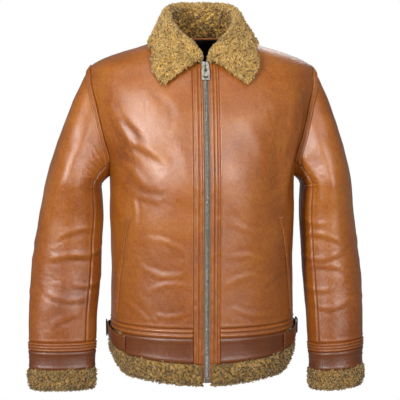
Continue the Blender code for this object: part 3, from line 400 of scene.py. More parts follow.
def fold_rise(points, folds):
    """Height of the folds at points, each fold fading along its length and to its sides."""
    rise = np.zeros(points.shape[:-1])
    flat = points[..., (0, 2)]
    for x0, z0, x1, z1, width, height in folds:
        start = np.array((x0, z0))
        along = np.array((x1 - x0, z1 - z0))
        share = np.clip((flat - start) @ along / (along @ along), 0.0, 1.0)
        away = np.linalg.norm(flat - start - share[..., None] * along, axis=-1)
        rise += height * (0.35 + 0.65 * np.sin(pi * share)) * np.exp(-((away / width) ** 2))
    return rise


def ripple(points, wavelength, seed, waves=18):
    """Smooth uneven bumps of about the given wavelength, from -1 to 1."""
    rng = np.random.default_rng(seed)
    directions = unit(rng.normal(size=(waves, 3))) * 2 * pi / wavelength
    directions *= rng.uniform(0.6, 1.5, (waves, 1))
    phases = rng.uniform(0, 2 * pi, waves)
    total = np.zeros(points.shape[:-1])
    for direction, phase in zip(directions, phases):
        total += np.sin(points @ direction + phase)
    return total / np.sqrt(waves)


def ripples(points, table):
    """Sum of the ripples of a table at points."""
    return sum(height * ripple(points, wavelength, seed) for wavelength, height, seed in table)


def crease_rise(flat, creases):
    """Rise of curved creases at points of a flattened surface: a ridge with a trough beside it."""
    rise = np.zeros(flat.shape[:-1])
    for x0, z0, x1, z1, bend, width, height in creases:
        start = np.array((x0, z0))
        run = np.array((x1 - x0, z1 - z0))
        length = np.linalg.norm(run)
        axis = run / length
        share = (flat - start) @ axis / length
        fade = np.clip(4 * share * (1 - share), 0, None)
        away = (flat - start) @ np.array((-axis[1], axis[0])) - bend * length * fade
        across = away / width
        ridge = np.exp(-across**2) - 0.55 * np.exp(-((across - 1.7) ** 2))
        rise += height * np.sqrt(fade) * ridge
    return rise


def field_creases(fields, seed):
    """Small creases scattered over each field, uneven in place, length, tilt and depth."""
    rng = np.random.default_rng(seed)
    made = []
    for x, z, half_x, half_z, tilt, spread, count, length, width, rise in fields:
        for _ in range(count):
            middle = np.array((x, z)) + rng.uniform(-1, 1, 2) * (half_x, half_z)
            turn = radians(tilt + rng.normal() * spread)
            reach = length * rng.uniform(0.35, 1.0) / 2
            step = np.array((np.cos(turn), np.sin(turn))) * reach
            made.append((*(middle - step), *(middle + step), rng.uniform(-0.15, 0.15),
                         width * rng.uniform(0.6, 1.1),
                         rise * rng.uniform(0.35, 1.0) * rng.choice((-1, 1))))
    return made


def sleeve_scale(rows):
    """Sleeve rows with their places round the sleeve turned from degrees into metres."""
    made = []
    for row in rows:
        row = list(row)
        row[0] = radians(row[0]) * SLEEVE_TURN_METRES
        row[2] = radians(row[2]) * SLEEVE_TURN_METRES
        made.append(row)
    return made


FRONT_RELIEF = (*FRONT_CREASES, *field_creases(FRONT_FIELDS, 11))
BACK_RELIEF = (*BACK_CREASES, *field_creases(BACK_FIELDS, 12))
SLEEVE_RELIEF = {
    side: (*sleeve_scale(SLEEVE_CREASES[side]), *field_creases(sleeve_scale(SLEEVE_FIELDS), seed))
    for side, seed in (("left", 13), ("right", 14))
}


def body_base(angle, height):
    """Point on the smooth body surface: angle 0 is the left side, -90 degrees the front."""
    angle, height = np.broadcast_arrays(np.asarray(angle, float), np.asarray(height, float))
    half_width, front, back, middle = (
        smooth_curve(*column(BODY_SECTIONS, BODY_COLUMNS.index(name)), height)
        for name in BODY_COLUMNS[1:]
    )
    depth = np.where(np.sin(angle) < 0, front, back)
    x = half_width * signed_power(np.cos(angle), 2 / BODY_POWER)
    y = middle + depth * signed_power(np.sin(angle), 2 / BODY_POWER)
    return np.stack((x, y, height), axis=-1)


def body_normal(angle, height):
    """Outward direction of the smooth body surface."""
    step = 2e-3
    across = body_base(angle + step, height) - body_base(angle - step, height)
    up = body_base(angle, height + step) - body_base(angle, height - step)
    return unit(np.cross(across, up))


def armhole_clear(points):
    """0 on the edge of the armhole, rising to 1 a little way off it."""
    middle = (ARMHOLE_TOP_Z + ARMHOLE_BOTTOM_Z) / 2
    tall = (points[..., 2] - middle) / ((ARMHOLE_TOP_Z - ARMHOLE_BOTTOM_Z) / 2)
    deep = points[..., 1] / np.where(points[..., 1] < 0, ARMHOLE_FRONT, ARMHOLE_BACK)
    away = np.sqrt(tall**2 + deep**2) - 1
    return np.where(np.abs(points[..., 0]) > 0.15, np.clip(away / 0.25, 0, 1), 1.0)


def body(angle, height, lift=0.0):
    """Point on the body with its folds and creases, moved out by the lift."""
    base = body_base(angle, height)
    front = np.clip(-np.sin(angle) * 3, 0, 1)
    rear = np.clip(np.sin(angle) * 3, 0, 1)
    rise = front * fold_rise(base, FRONT_FOLDS) + rear * fold_rise(base, BACK_FOLDS)
    level = base[..., 2]
    leather = np.clip((level - WAIST_TOP_Z + 0.004) / 0.008, 0.25, 1) * armhole_clear(base)
    flat = base[..., (0, 2)]
    small = front * crease_rise(flat, FRONT_RELIEF) + rear * crease_rise(flat, BACK_RELIEF)
    small += ripples(base, BODY_RIPPLES)
    near_zip = np.clip((np.abs(base[..., 0]) - 0.012) / 0.03, 0.15, 1)
    near_zip = np.where(base[..., 1] < 0, near_zip, 1.0)
    offset = rise * armhole_clear(base) + small * leather * near_zip
    offset = offset + np.broadcast_to(lift, rise.shape)
    return base + body_normal(angle, height) * offset[..., None]


def front_angle(x, height):
    """Angle of the front point that lies at a distance x from the middle."""
    half_width = smooth_curve(*column(BODY_SECTIONS, 1), height)
    share = np.clip(np.abs(x) / half_width, 0, 1)
    return -np.arccos(share ** (BODY_POWER / 2))


def armhole_angle(turn):
    """Angle and height on the body of the armhole at a turn: 0 is the armpit, + to the front."""
    turn = np.asarray(turn, float)
    middle = (ARMHOLE_TOP_Z + ARMHOLE_BOTTOM_Z) / 2
    height = middle - (ARMHOLE_TOP_Z - ARMHOLE_BOTTOM_Z) / 2 * np.cos(turn)
    reach = np.where(np.sin(turn) > 0, ARMHOLE_FRONT, ARMHOLE_BACK) * -np.sin(turn)
    depth = np.where(
        np.sin(turn) > 0,
        smooth_curve(*column(BODY_SECTIONS, 2), height),
        smooth_curve(*column(BODY_SECTIONS, 3), height),
    )
    share = np.clip(np.abs(reach) / depth, 0, 1) ** (BODY_POWER / 2)
    return np.sign(reach) * np.arcsin(share), height


def neck_angle(share, back):
    """Angle and height on the body of the neckline; share 0 is the middle, 1 the shoulder seam."""
    share = np.asarray(share, float)
    inner = 0.0 if back else FRONT_EDGE
    turn = share * pi / 2
    x = inner + (NECK_HALF_WIDTH - inner) * np.sin(turn)
    height = (NECK_BACK_Z if back else NECK_FRONT_Z) * np.cos(turn)
    angle = front_angle(x, height)
    return (-angle if back else angle), height


def neck_height(x):
    """Height of the front neckline at a distance x from the middle."""
    share = (np.abs(x) - FRONT_EDGE) / (NECK_HALF_WIDTH - FRONT_EDGE)
    return NECK_FRONT_Z * np.cos(np.arcsin(np.clip(share, 0, 1)))


def mirror(points, side):
    """Points of the wearer's left side, or their mirror image for the right side."""
    return points * np.array((1.0 if side == "left" else -1.0, 1.0, 1.0))


def sleeve_ring(side, turn, height):
    """Point of a level sleeve section, on the left side whichever sleeve it is."""
    turn, height = np.broadcast_arrays(np.asarray(turn, float), np.asarray(height, float))
    centre_x, centre_y, half_width, half_depth, drop = (
        smooth_curve(*column(SLEEVE_SECTIONS[side], SLEEVE_COLUMNS.index(name)), height)
        for name in SLEEVE_COLUMNS[1:]
    )
    x = centre_x - half_width * np.cos(turn)
    y = centre_y - half_depth * np.sin(turn)
    return np.stack((x, y, height - drop * np.cos(turn)), axis=-1)


CAP_BASE_Z = -0.300
CAP_START_PULL = 0.27
CAP_END_PULL = 0.76


def sleeve_base(side, turn, along):
    """Sleeve surface: along 0 is the armhole, 1 the level of the armpit, more runs down in metres."""
    turn, along = np.broadcast_arrays(np.asarray(turn, float), np.asarray(along, float))
    start = body_base(*armhole_angle(turn))
    end = sleeve_ring(side, turn, CAP_BASE_Z)
    below = sleeve_ring(side, turn, CAP_BASE_Z - 0.01)
    reach = np.linalg.norm(end - start, axis=-1, keepdims=True)
    top = (1 - np.cos(turn)) / 2
    leave = unit(np.stack((0.75 + 0.25 * top, -0.30 * np.sin(turn), -0.95 + 0.25 * top), axis=-1))
    t = np.clip(along, 0, 1)[..., None]
    cap = (
        start * (1 + 2 * t) * (1 - t) ** 2
        + leave * reach * CAP_START_PULL * t * (1 - t) ** 2
        + end * t**2 * (3 - 2 * t)
        + unit(below - end) * reach * CAP_END_PULL * t**2 * (t - 1)
    )
    lower = sleeve_ring(side, turn, CAP_BASE_Z - np.clip(along - 1, 0, None))
    return np.where(along[..., None] <= 1, cap, lower)


def sleeve_normal(side, turn, along):
    """Outward direction of the sleeve surface."""
    step = 2e-3
    low = np.clip(np.asarray(along, float) - step, 0, None)
    around = sleeve_base(side, turn + step, along) - sleeve_base(side, turn - step, along)
    down = sleeve_base(side, turn, low + 2 * step) - sleeve_base(side, turn, low)
    return unit(np.cross(down, around))


def armhole_rim(side, turn):
    """Shared direction in which both walls that meet at the armhole have their thickness."""
    return unit(body_normal(*armhole_angle(turn)) + sleeve_normal(side, turn, 0.0))


def sleeve_relief(side, turn, along):
    """Rise of a sleeve's creases, even across the seam where the turn starts again."""
    down = np.where(along <= 1, along * CAP_LENGTH, along - 1 + CAP_LENGTH)
    rise = np.zeros(turn.shape)
    for shift in (-2 * pi, 0.0, 2 * pi):
        flat = np.stack(((turn + shift) * SLEEVE_TURN_METRES, down), axis=-1)
        rise += crease_rise(flat, SLEEVE_RELIEF[side])
    points = sleeve_base(side, turn, along)
    rise += ripples(points, SLEEVE_RIPPLES)
    cuff = CAP_LENGTH + CAP_BASE_Z - CUFF_HEIGHTS[side]["strip"]
    return rise * np.clip(down / 0.03, 0, 1) * np.clip((cuff + 0.006 - down) / 0.02, 0.2, 1)


def sleeve(side, turn, along, lift=0.0):
    """Point on the creased sleeve, moved out by the lift; at the armhole it moves as the body does."""
    turn, along = np.broadcast_arrays(np.asarray(turn, float), np.asarray(along, float))
    outward = sleeve_normal(side, turn, along)
    outward = np.where(along[..., None] < 1e-9, armhole_rim(side, turn), outward)
    rise = np.broadcast_to(lift, turn.shape) + sleeve_relief(side, turn, along)
    return sleeve_base(side, turn, along) + outward * rise[..., None]


def along_at(height):
    """Place along the sleeve of a level section below the armpit."""
    return 1 + CAP_BASE_Z - np.asarray(height, float)


def side_angle(angle, side):
    """An angle of the left side, or the one opposite it on the right."""
    return angle if side == "left" else pi - angle


def hem_height(angle, name):
    """Height of the top or the end of the hem's wool at an angle round the body."""
    from_side = np.degrees(np.arcsin(np.abs(np.sin(angle))))
    return smooth_curve(*column(HEM_HEIGHTS, HEM_COLUMNS.index(name)), from_side)


def along_for_distance(side, turn, distance):
    """Place along the sleeve that lies at a distance from the armhole."""
    steps = np.linspace(0, 0.9, 91)
    found = []
    for angle in turn:
        line = sleeve_base(side, angle, steps)
        run = np.concatenate(((0.0,), np.cumsum(np.linalg.norm(np.diff(line, axis=0), axis=1))))
        found.append(np.interp(distance, run, steps))
    return np.array(found).T


def neck_share(place):
    """Share along the front or the back neckline, at a place from the back to the front end."""
    back = np.clip(place / SHOULDER_PLACE, 0, 1)
    front = np.clip((1 - place) / (1 - SHOULDER_PLACE), COLLAR_FRONT_SHARE, 1)
    return back, front


def neckline(place):
    """Point of the neckline on the left side, at a place from the back to the front end."""
    back, front = neck_share(place)
    behind = body_base(*neck_angle(back, True))
    ahead = body_base(*neck_angle(front, False))
    return np.where(np.asarray(place)[..., None] <= SHOULDER_PLACE, behind, ahead)


def collar_line(place):
    """Middle line of the collar's section at each place: stand, roll and fall."""
    roll_knots = np.array(COLLAR_ROLL)
    edge_knots = np.array(COLLAR_EDGE)
    roll = smooth_curve(roll_knots[:, 0], roll_knots[:, 1:], place)
    edge_angle, edge_height = smooth_curve(edge_knots[:, 0], edge_knots[:, 1:], place).T
    edge = body_base(radians(1) * edge_angle, edge_height)
    edge = edge + body_normal(radians(1) * edge_angle, edge_height) * COLLAR_EDGE_LIFT
    base = neckline(place)
    up = np.array((0.0, 0.0, 1.0))
    inward = unit(base * (-1, -1, 0) + (0, 0.01, 0)) * COLLAR_INSET
    base = base + unit(roll - base) * COLLAR_BASE_GAP + inward
    flat = unit((edge - roll) * (1, 1, 0))
    ahead = np.clip((place - 0.8) / 0.2, 0, 1)[:, None]
    outward = unit(flat * (1 - ahead) + np.array((0.35, -0.95, 0.0)) * ahead)
    top = roll - up * COLLAR_THICKNESS / 2
    inside = top - outward * COLLAR_FOLD_RADIUS - up * COLLAR_FOLD_RADIUS
    outside = top + outward * COLLAR_FOLD_RADIUS - up * COLLAR_FOLD_RADIUS
    middle = (outside + edge) / 2 + outward * COLLAR_BULGE + up * COLLAR_BULGE
    return np.stack((base, (base + inside) / 2, inside, top, outside, middle, edge), axis=1)


def collar_grid(places, shares):
    """Outer and inner grids of the whole collar, from the right front end to the left."""
    sections = collar_line(places)
    half = np.stack([smooth_curve(COLLAR_SHARES, section, shares) for section in sections])
    middle = np.concatenate((mirror(half[:0:-1], "right"), half))
    normal = unit(np.cross(np.gradient(middle, axis=0), np.gradient(middle, axis=1)))
    thin = np.interp(shares, (0, 0.2, 0.88, 1), (0.6, 1, 1, 0.55)) * COLLAR_THICKNESS / 2
    return middle + normal * thin[None, :, None], middle - normal * thin[None, :, None]


def front_point(x, height, lift=0.0):
    """Point of the front at a distance x from the middle, on either side of it."""
    angle = front_angle(x, height)
    return body(np.where(np.asarray(x) < 0, -pi - angle, angle), height, lift)


def front_frame(height, lift):
    """Matrix of a place on the zip: X to the wearer's left, Y up along the cloth, Z outward."""
    centre = front_point(np.array(0.0), np.array(height), lift)
    outward = body_normal(np.array(-pi / 2), np.array(height))
    across = np.array((1.0, 0.0, 0.0))
    return frame_from(centre, across, np.cross(outward, across), outward)


def frame_from(centre, *axes):
    """Matrix whose columns are three axes and a centre."""
    matrix = Matrix.Identity(4)
    for index, vector in enumerate((*axes, centre)):
        for row in range(3):
            matrix[row][index] = vector[row]
    return matrix


# Fine grids of the panels
SIDE_HEIGHTS = np.linspace(WAIST_TOP_Z, ARMHOLE_BOTTOM_Z, 90)
ARMHOLE_ROWS = 58
NECK_ROWS = 27
PANEL_COLUMNS = 85
PLACKET_SHARE = np.arcsin((PLACKET_OUTER - FRONT_EDGE) / (NECK_HALF_WIDTH - FRONT_EDGE)) / (pi / 2)

# Sections of the sewn ridges: place or share across, and rise
PLACKET_RIDGES = (
    (FRONT_EDGE, -0.0006), (0.0068, 0.0007), (0.0085, 0.0002), (0.0118, 0.0021), (0.0150, 0.0001),
    (0.0185, 0.0021), (0.0222, 0.0002), (0.0245, 0.0007), (PLACKET_OUTER, -0.0006),
)
WAIST_RIDGES = (
    (0.0, -0.0008), (0.08, 0.0004), (0.25, 0.0022), (0.5, 0.0000), (0.75, 0.0022), (0.92, 0.0004),
    (1.0, -0.0008),
)
BAND_ROLL = ((0.0, -0.0006), (0.08, 0.0010), (0.25, 0.0002), (0.75, 0.0002), (0.94, 0.0006),
             (1.0, -0.0006))
WELT_RIDGES = (
    (0.0008, 0.0000), (0.0022, 0.0012), (0.0045, 0.0022), (0.0064, 0.0006), (0.0082, 0.0020),
    (0.0100, 0.0006), (0.0122, 0.0020), (0.0142, 0.0010), (0.0160, 0.0000),
)
CUFF_RIDGES = (
    (0.0, -0.0006), (0.08, 0.0006), (0.17, 0.0021), (0.33, 0.0001), (0.5, 0.0021), (0.67, 0.0001),
    (0.84, 0.0021), (0.93, 0.0006), (1.0, -0.0006),
)
CUFF_PILE = ((0.0, 0.0004, 0.0045), (0.12, 0.0024, 0.0060), (0.5, 0.0034, 0.0070),
             (0.88, 0.0022, 0.0060), (1.0, -0.0006, 0.0042))
HEM_PILE_SECTION = ((0.0, -0.0008, 0.0045), (0.15, 0.0030, 0.0070), (0.6, 0.0045, 0.0075),
                    (0.9, 0.0030, 0.0060), (1.0, 0.0006, 0.0045))
NOTCH_SECTION = ((0.0, 0.0006, 0.0045), (0.5, 0.0030, 0.0060), (1.0, 0.0004, 0.0045))

# Locks of wool: length, number, and depth of their roots below the surface. The collar has
# rows of its grid, columns of its grid, number of locks and how much painted shade darkens them.
LOCKS_PER_METRE2 = 46000
ROOT_DEPTH = 0.0022
CUFF_LOCK = 0.0052
CUFF_LOCKS = 1000
CUFF_RIM_LOCK = 0.0050
CUFF_RIM_LOCKS = 420
HEM_LOCK = 0.0054
HEM_RIM_LOCKS = {"left": 400, "right": 400, "back": 800}
COLLAR_ROOT_DEPTH = 0.0030
COLLAR_LOCK = 0.0058
COLLAR_EDGE_LOCK = 0.0052
COLLAR_LOCKS = {
    "fall_right": (slice(0, 120), slice(50, None), 2350, 0.0),
    "fall_left": (slice(119, None), slice(50, None), 2350, 0.0),
    "roll": (slice(None), slice(33, 51), 1450, 0.15),
    "stand": (slice(None), slice(0, 35), 1100, 0.9),
}
COLLAR_EDGE_LOCKS = {"edge": 900, "end_left": 280, "end_right": 280}

TOOTH_PITCH = 0.0030

# Topstitching: distances from the zip with the lift there, and from the armhole; shares of
# the cuff's strip
PLACKET_STITCHES = ((0.0073, 0.0008), (0.0150, 0.0009), (0.0235, 0.0008))
WELT_STITCHES = (0.0062, 0.0098)
CUFF_STITCHES = (0.35, 0.67, 1.14, 1.9)
STITCH_PITCH = 0.0040
STITCH_LENGTH = 0.0030
STITCH_RADIUS = 0.00045

# Studio: place, size and power of each light; the camera at the photograph's angle
LIGHTS = (
    ("left", (-1.65, -2.05, 0.35), (0.4, 1.1), 62.0),
    ("right", (0.85, -2.45, 0.10), (0.45, 1.4), 38.0),
    ("top", (-0.3, -1.2, 1.9), (1.4, 1.0), 12.0),
    ("rear", (0.6, 2.4, 1.6), (1.6, 1.6), 22.0),
)
LIGHT_AIM = (0, 0, -0.35)
AMBIENT = 0.21
LENS = 114.0
CAMERA_PLACE = (-0.184, -2.579, -0.059)
CAMERA_AIM = (-0.004, 0.0, -0.331)


def outline(grid):
    """Points round the border of a grid, as places in it."""
    rows, columns = grid.shape[:2]
    places = [(0, col) for col in range(columns - 1)]
    places += [(row, columns - 1) for row in range(rows - 1)]
    places += [(rows - 1, col) for col in range(columns - 1, 0, -1)]
    places += [(row, 0) for row in range(rows - 1, 0, -1)]
    return places


# Stored for the colour: raised ridges paint lighter as rubbed wear, hollows paint darker as painted
# shade.
def wear_and_hollow_shade_of(grid, reach=2):
    """How far each point of a grid stands proud of those around it, in millimetres."""
    padded = np.pad(grid, ((reach, reach), (reach, reach), (0, 0)), mode="edge")
    near = (padded[2 * reach:, reach:-reach] + padded[:-2 * reach, reach:-reach]
            + padded[reach:-reach, 2 * reach:] + padded[reach:-reach, :-2 * reach]) / 4
    proud = ((grid - near) * grid_normal(grid)).sum(axis=-1) * 1000
    proud[:reach] = proud[-reach:] = 0
    proud[:, :reach] = proud[:, -reach:] = 0
    return proud


def grid_normal(grid):
    """Direction across a grid of points, from its rows to its columns."""
    return unit(np.cross(np.gradient(grid, axis=1), np.gradient(grid, axis=0)))


def shell_parts(outer, inner, ring, start):
    """Points, faces and face kinds of a closed shell; the inner side keeps every third line."""
    step = PANEL_STEP
    rows, columns = outer.shape[:2]
    number = start + np.arange(rows * columns).reshape(rows, columns)
    lining = inner[::step, ::step] if not ring else inner[::step, :]
    low_rows, low_columns = lining.shape[:2]
    low = start + rows * columns + np.arange(low_rows * low_columns).reshape(low_rows, low_columns)
    faces = []
    kinds = []
    for table, flip, kind in ((number, False, 0), (low, True, 1)):
        if ring:
            table = np.concatenate((table, table[:, :1]), axis=1)
        quads = np.stack((table[:-1, :-1], table[1:, :-1], table[1:, 1:], table[:-1, 1:]), axis=-1)
        quads = quads.reshape(-1, 4)
        faces += (quads[:, ::-1] if flip else quads).tolist()
        kinds += [kind] * len(quads)
    if ring:
        for row, low_row, flip in ((0, 0, False), (rows - 1, low_rows - 1, True)):
            top = np.append(number[row], number[row, 0])
            under = np.append(low[low_row], low[low_row, 0])
            for col in range(columns):
                face = [top[col], top[col + 1], under[col + 1], under[col]]
                faces.append(face[::-1] if flip else face)
                kinds.append(0)
    else:
        rim = [number[place] for place in outline(number)]
        under = [low[place] for place in outline(low)]
        for place in range(len(under)):
            bound = [rim[(place * step + k) % len(rim)] for k in range(step + 1)]
            faces.append([*bound, under[(place + 1) % len(under)], under[place]])
            kinds.append(0)
    points = np.concatenate((outer.reshape(-1, 3), lining.reshape(-1, 3)))
    wear_and_hollow_shade = np.concatenate((wear_and_hollow_shade_of(outer).ravel(), np.zeros(low_rows * low_columns)))
    return points, faces, kinds, wear_and_hollow_shade


def new_object(name, points, faces, materials, kinds=None, floats=None):
    """Smooth object from points and faces, with a material index a face and named floats."""
    mesh = bpy.data.meshes.new(name)
    mesh.from_pydata(np.asarray(points).tolist(), [], faces)
    for item in materials:
        mesh.materials.append(item)
    if kinds is not None:
        mesh.polygons.foreach_set("material_index", np.asarray(kinds, dtype=np.int32))
    for label, values in (floats or {}).items():
        layer = mesh.attributes.new(label, "FLOAT", "POINT")
        layer.data.foreach_set("value", np.asarray(values, dtype=np.float32))
    mesh.polygons.foreach_set("use_smooth", np.ones(len(mesh.polygons), dtype=bool))
    mesh.update()
    made = bpy.data.objects.new(name, mesh)
    bpy.context.scene.collection.objects.link(made)
    return made


def shell(name, patches, materials, replaced, ring=False):
    """Closed thin shell from outer and inner grids, riding on the jacket for its solids."""
    points = []
    faces = []
    kinds = []
    wear_and_hollow_shade = []
    count = 0
    for outer, inner in patches:
        if (np.cross(outer[0, 1] - outer[0, 0], outer[1, 0] - outer[0, 0])
                @ (outer[0, 0] - inner[0, 0])) < 0:
            outer = outer[:, ::-1]
            inner = inner[:, ::-1]
        part = shell_parts(outer, inner, ring, count)
        points.append(part[0])
        faces += part[1]
        kinds += part[2]
        wear_and_hollow_shade.append(part[3])
        count += len(part[0])
    flipped = [face[::-1] for face in faces]
    made = new_object(name, np.concatenate(points), flipped, materials, kinds,
                      {"wear_and_hollow_shade": np.concatenate(wear_and_hollow_shade)})
    return dress(made, replaced)


def dress(made, replaced=()):
    """Make a piece ride on the jacket and the solids that it stands for."""
    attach(made, "jacket")
    if replaced:
        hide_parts(*replaced)
    return made


def tubes(name, lines, radii, reference, sides, material_made, floats=None, flatten=1.0):
    """Many tapered tubes in one mesh, along lines of points with a radius at each."""
    tangent = unit(np.gradient(lines, axis=1))
    side = unit(np.cross(tangent, reference[:, None, :]))
    up = np.cross(side, tangent) * flatten
    turn = np.arange(sides) * 2 * pi / sides
    ring = (side[:, :, None, :] * np.cos(turn)[None, None, :, None]
            + up[:, :, None, :] * np.sin(turn)[None, None, :, None])
    points = lines[:, :, None, :] + ring * radii[..., None, None]
    count, knots = lines.shape[:2]
    number = np.arange(count * knots * sides).reshape(count, knots, sides)
    ahead = np.roll(number, -1, axis=2)
    quads = np.stack((number[:, :-1], ahead[:, :-1], ahead[:, 1:], number[:, 1:]), axis=-1)
    faces = quads.reshape(-1, 4).tolist()
    faces += number[:, 0, ::-1].tolist()
    faces += number[:, -1, :].tolist()
    spread = {}
    for label, values in (floats or {}).items():
        spread[label] = np.repeat(np.broadcast_to(values, (count, knots)).ravel(), sides)
    return new_object(name, points.reshape(-1, 3), faces, [material_made], None, spread)


def stitches(name, runs):
    """Rows of thread stitches along runs of surface points with their outward directions."""
    lines = []
    normals = []
    for points, outward in runs:
        steps = np.linalg.norm(np.diff(points, axis=0), axis=1)
        travel = np.concatenate(((0.0,), np.cumsum(steps)))
        middles = np.arange(STITCH_PITCH, travel[-1] - STITCH_PITCH / 2, STITCH_PITCH)
        at = middles[:, None] + np.array((-0.5, 0.0, 0.5))[None, :] * STITCH_LENGTH
        line = np.stack([np.interp(at, travel, points[:, axis]) for axis in range(3)], axis=-1)
        normal = unit(np.stack([np.interp(middles, travel, outward[:, axis])
                                for axis in range(3)], axis=-1))
        sunk = np.array((-0.00030, 0.0003, -0.00030))
        lines.append(line + normal[:, None, :] * sunk[None, :, None])
        normals.append(normal)
    lines = np.concatenate(lines)
    radii = np.broadcast_to(np.array((0.5, 1.0, 0.5)) * STITCH_RADIUS, lines.shape[:2])
    made = tubes(name, lines, radii, np.concatenate(normals), 4, MATERIALS["thread"])
    return dress(made)


def scatter(grid, count, rng, sign=1.0):
    """Random places on a grid: points, outward directions and the way its rows run."""
    down = grid[1:, :-1] - grid[:-1, :-1]
    across = grid[:-1, 1:] - grid[:-1, :-1]
    cells = np.cross(across, down)
    area = np.linalg.norm(cells, axis=-1).ravel()
    chosen = rng.choice(len(area), size=count, p=area / area.sum())
    u = rng.random((count, 1))
    v = rng.random((count, 1))
    down = down.reshape(-1, 3)[chosen]
    across = across.reshape(-1, 3)[chosen]
    place = grid[:-1, :-1].reshape(-1, 3)[chosen] + across * u + down * v
    return place, unit(cells.reshape(-1, 3)[chosen]) * sign, unit(down)


def curls(name, roots, size, rng, kind, dark=0.0):
    """Curled locks of wool that rise from their roots and coil over the pile."""
    place, outward, down = roots
    count = len(place)
    knots = 5
    t = np.linspace(0, 1, knots)[None, :, None]
    around = np.cross(outward, down)
    heading = rng.uniform(0, 2 * pi, (count, 1))
    lay = down * np.cos(heading) + around * np.sin(heading)
    axis = unit(outward * rng.uniform(0.35, 0.9, (count, 1)) + lay * 0.7 + down * 0.15)
    side = unit(np.cross(axis, outward))
    up = np.cross(side, axis)
    scale = rng.uniform(0.75, 1.25, (count, 1, 1)) * size
    phase = rng.uniform(0, 2 * pi, (count, 1, 1)) + t * 2 * pi * rng.uniform(0.8, 1.35, (count, 1, 1))
    coil = (side[:, None, :] * np.cos(phase) + up[:, None, :] * np.sin(phase)) * np.minimum(1, 3 * t)
    lines = place[:, None, :] + axis[:, None, :] * scale * t + coil * scale * 0.27
    lines += outward[:, None, :] * scale * 0.05
    radii = scale[..., 0] * np.array((0.20, 0.23, 0.23, 0.20, 0.10))[None, :]
    # dark is painted shade: it lowers the tone of locks that sit in shadow inside the neck.
    tone = np.broadcast_to(rng.uniform(0, 1, (count, 1)), (count, knots)) - dark
    floats = {"tip": np.broadcast_to(t[..., 0], (count, knots)), "tone": tone}
    made = tubes(name, lines, radii, axis, 3, MATERIALS[kind], floats)
    return dress(made)


def add_node(tree, kind, inputs=None, **settings):
    """New shader node with its settings, and inputs given as values or as other sockets."""
    made = tree.nodes.new(kind)
    for name, value in settings.items():
        setattr(made, name, value)
    for name, value in (inputs or {}).items():
        if isinstance(value, bpy.types.NodeSocket):
            tree.links.new(value, made.inputs[name])
        else:
            made.inputs[name].default_value = value
    return made


def base_material(name, **values):
    """Material, its tree, its shader with even values on its own sockets, and its coordinates."""
    made = bpy.data.materials.new(name)
    made.use_nodes = True
    shader = made.node_tree.nodes["Principled BSDF"]
    for label, value in values.items():
        shader.inputs[label.replace("_", " ")].default_value = value
    tree = made.node_tree
    return made, tree, shader, add_node(tree, "ShaderNodeTexCoord").outputs["Object"]


def link_shader(tree, shader, **sockets):
    """Join values of the tree to the named sockets of its shader."""
    for label, value in sockets.items():
        tree.links.new(value, shader.inputs[label.replace("_", " ")])


def bumped(tree, strength, distance, height, **under):
    """Normal of a bump map, laid over the Normal in under if there is one."""
    inputs = {"Strength": strength, "Distance": distance, "Height": height, **under}
    return add_node(tree, "ShaderNodeBump", inputs).outputs["Normal"]


def stored(tree, name):
    """Value of a float stored on the mesh."""
    return add_node(tree, "ShaderNodeAttribute", attribute_name=name).outputs["Fac"]


def colour_ramp(tree, factor, stops):
    """Colour ramp through (place, colour) stops."""
    ramp = add_node(tree, "ShaderNodeValToRGB", {"Fac": factor})
    ramp.color_ramp.elements[0].position = stops[0][0]
    ramp.color_ramp.elements[0].color = (*stops[0][1], 1)
    ramp.color_ramp.elements[1].position = stops[-1][0]
    ramp.color_ramp.elements[1].color = (*stops[-1][1], 1)
    for place, colour in stops[1:-1]:
        ramp.color_ramp.elements.new(place).color = (*colour, 1)
    return ramp.outputs["Color"]


def noise(tree, where, scale, detail=3.0, roughness=0.5):
    """Value of a noise texture at a scale."""
    made = add_node(tree, "ShaderNodeTexNoise",
                    {"Vector": where, "Scale": scale, "Detail": detail, "Roughness": roughness})
    return made.outputs["Fac"]


def scaled(tree, value, low, high, to_low, to_high):
    """A value mapped from one range onto another."""
    made = add_node(tree, "ShaderNodeMapRange", {
        "Value": value, "From Min": low, "From Max": high, "To Min": to_low, "To Max": to_high})
    return made.outputs["Result"]


def sum_of(tree, first, second):
    """Two values added up."""
    made = add_node(tree, "ShaderNodeMath", operation="ADD")
    tree.links.new(first, made.inputs[0])
    tree.links.new(second, made.inputs[1])
    return made.outputs["Value"]


def multiplied(tree, factor, colour, tint):
    """A colour multiplied by a tint, as far as the factor says."""
    made = add_node(tree, "ShaderNodeMix", data_type="RGBA", blend_type="MULTIPLY")
    tree.links.new(factor, made.inputs[0])
    tree.links.new(colour, made.inputs[6])
    made.inputs[7].default_value = (*tint, 1)
    return made.outputs[2]


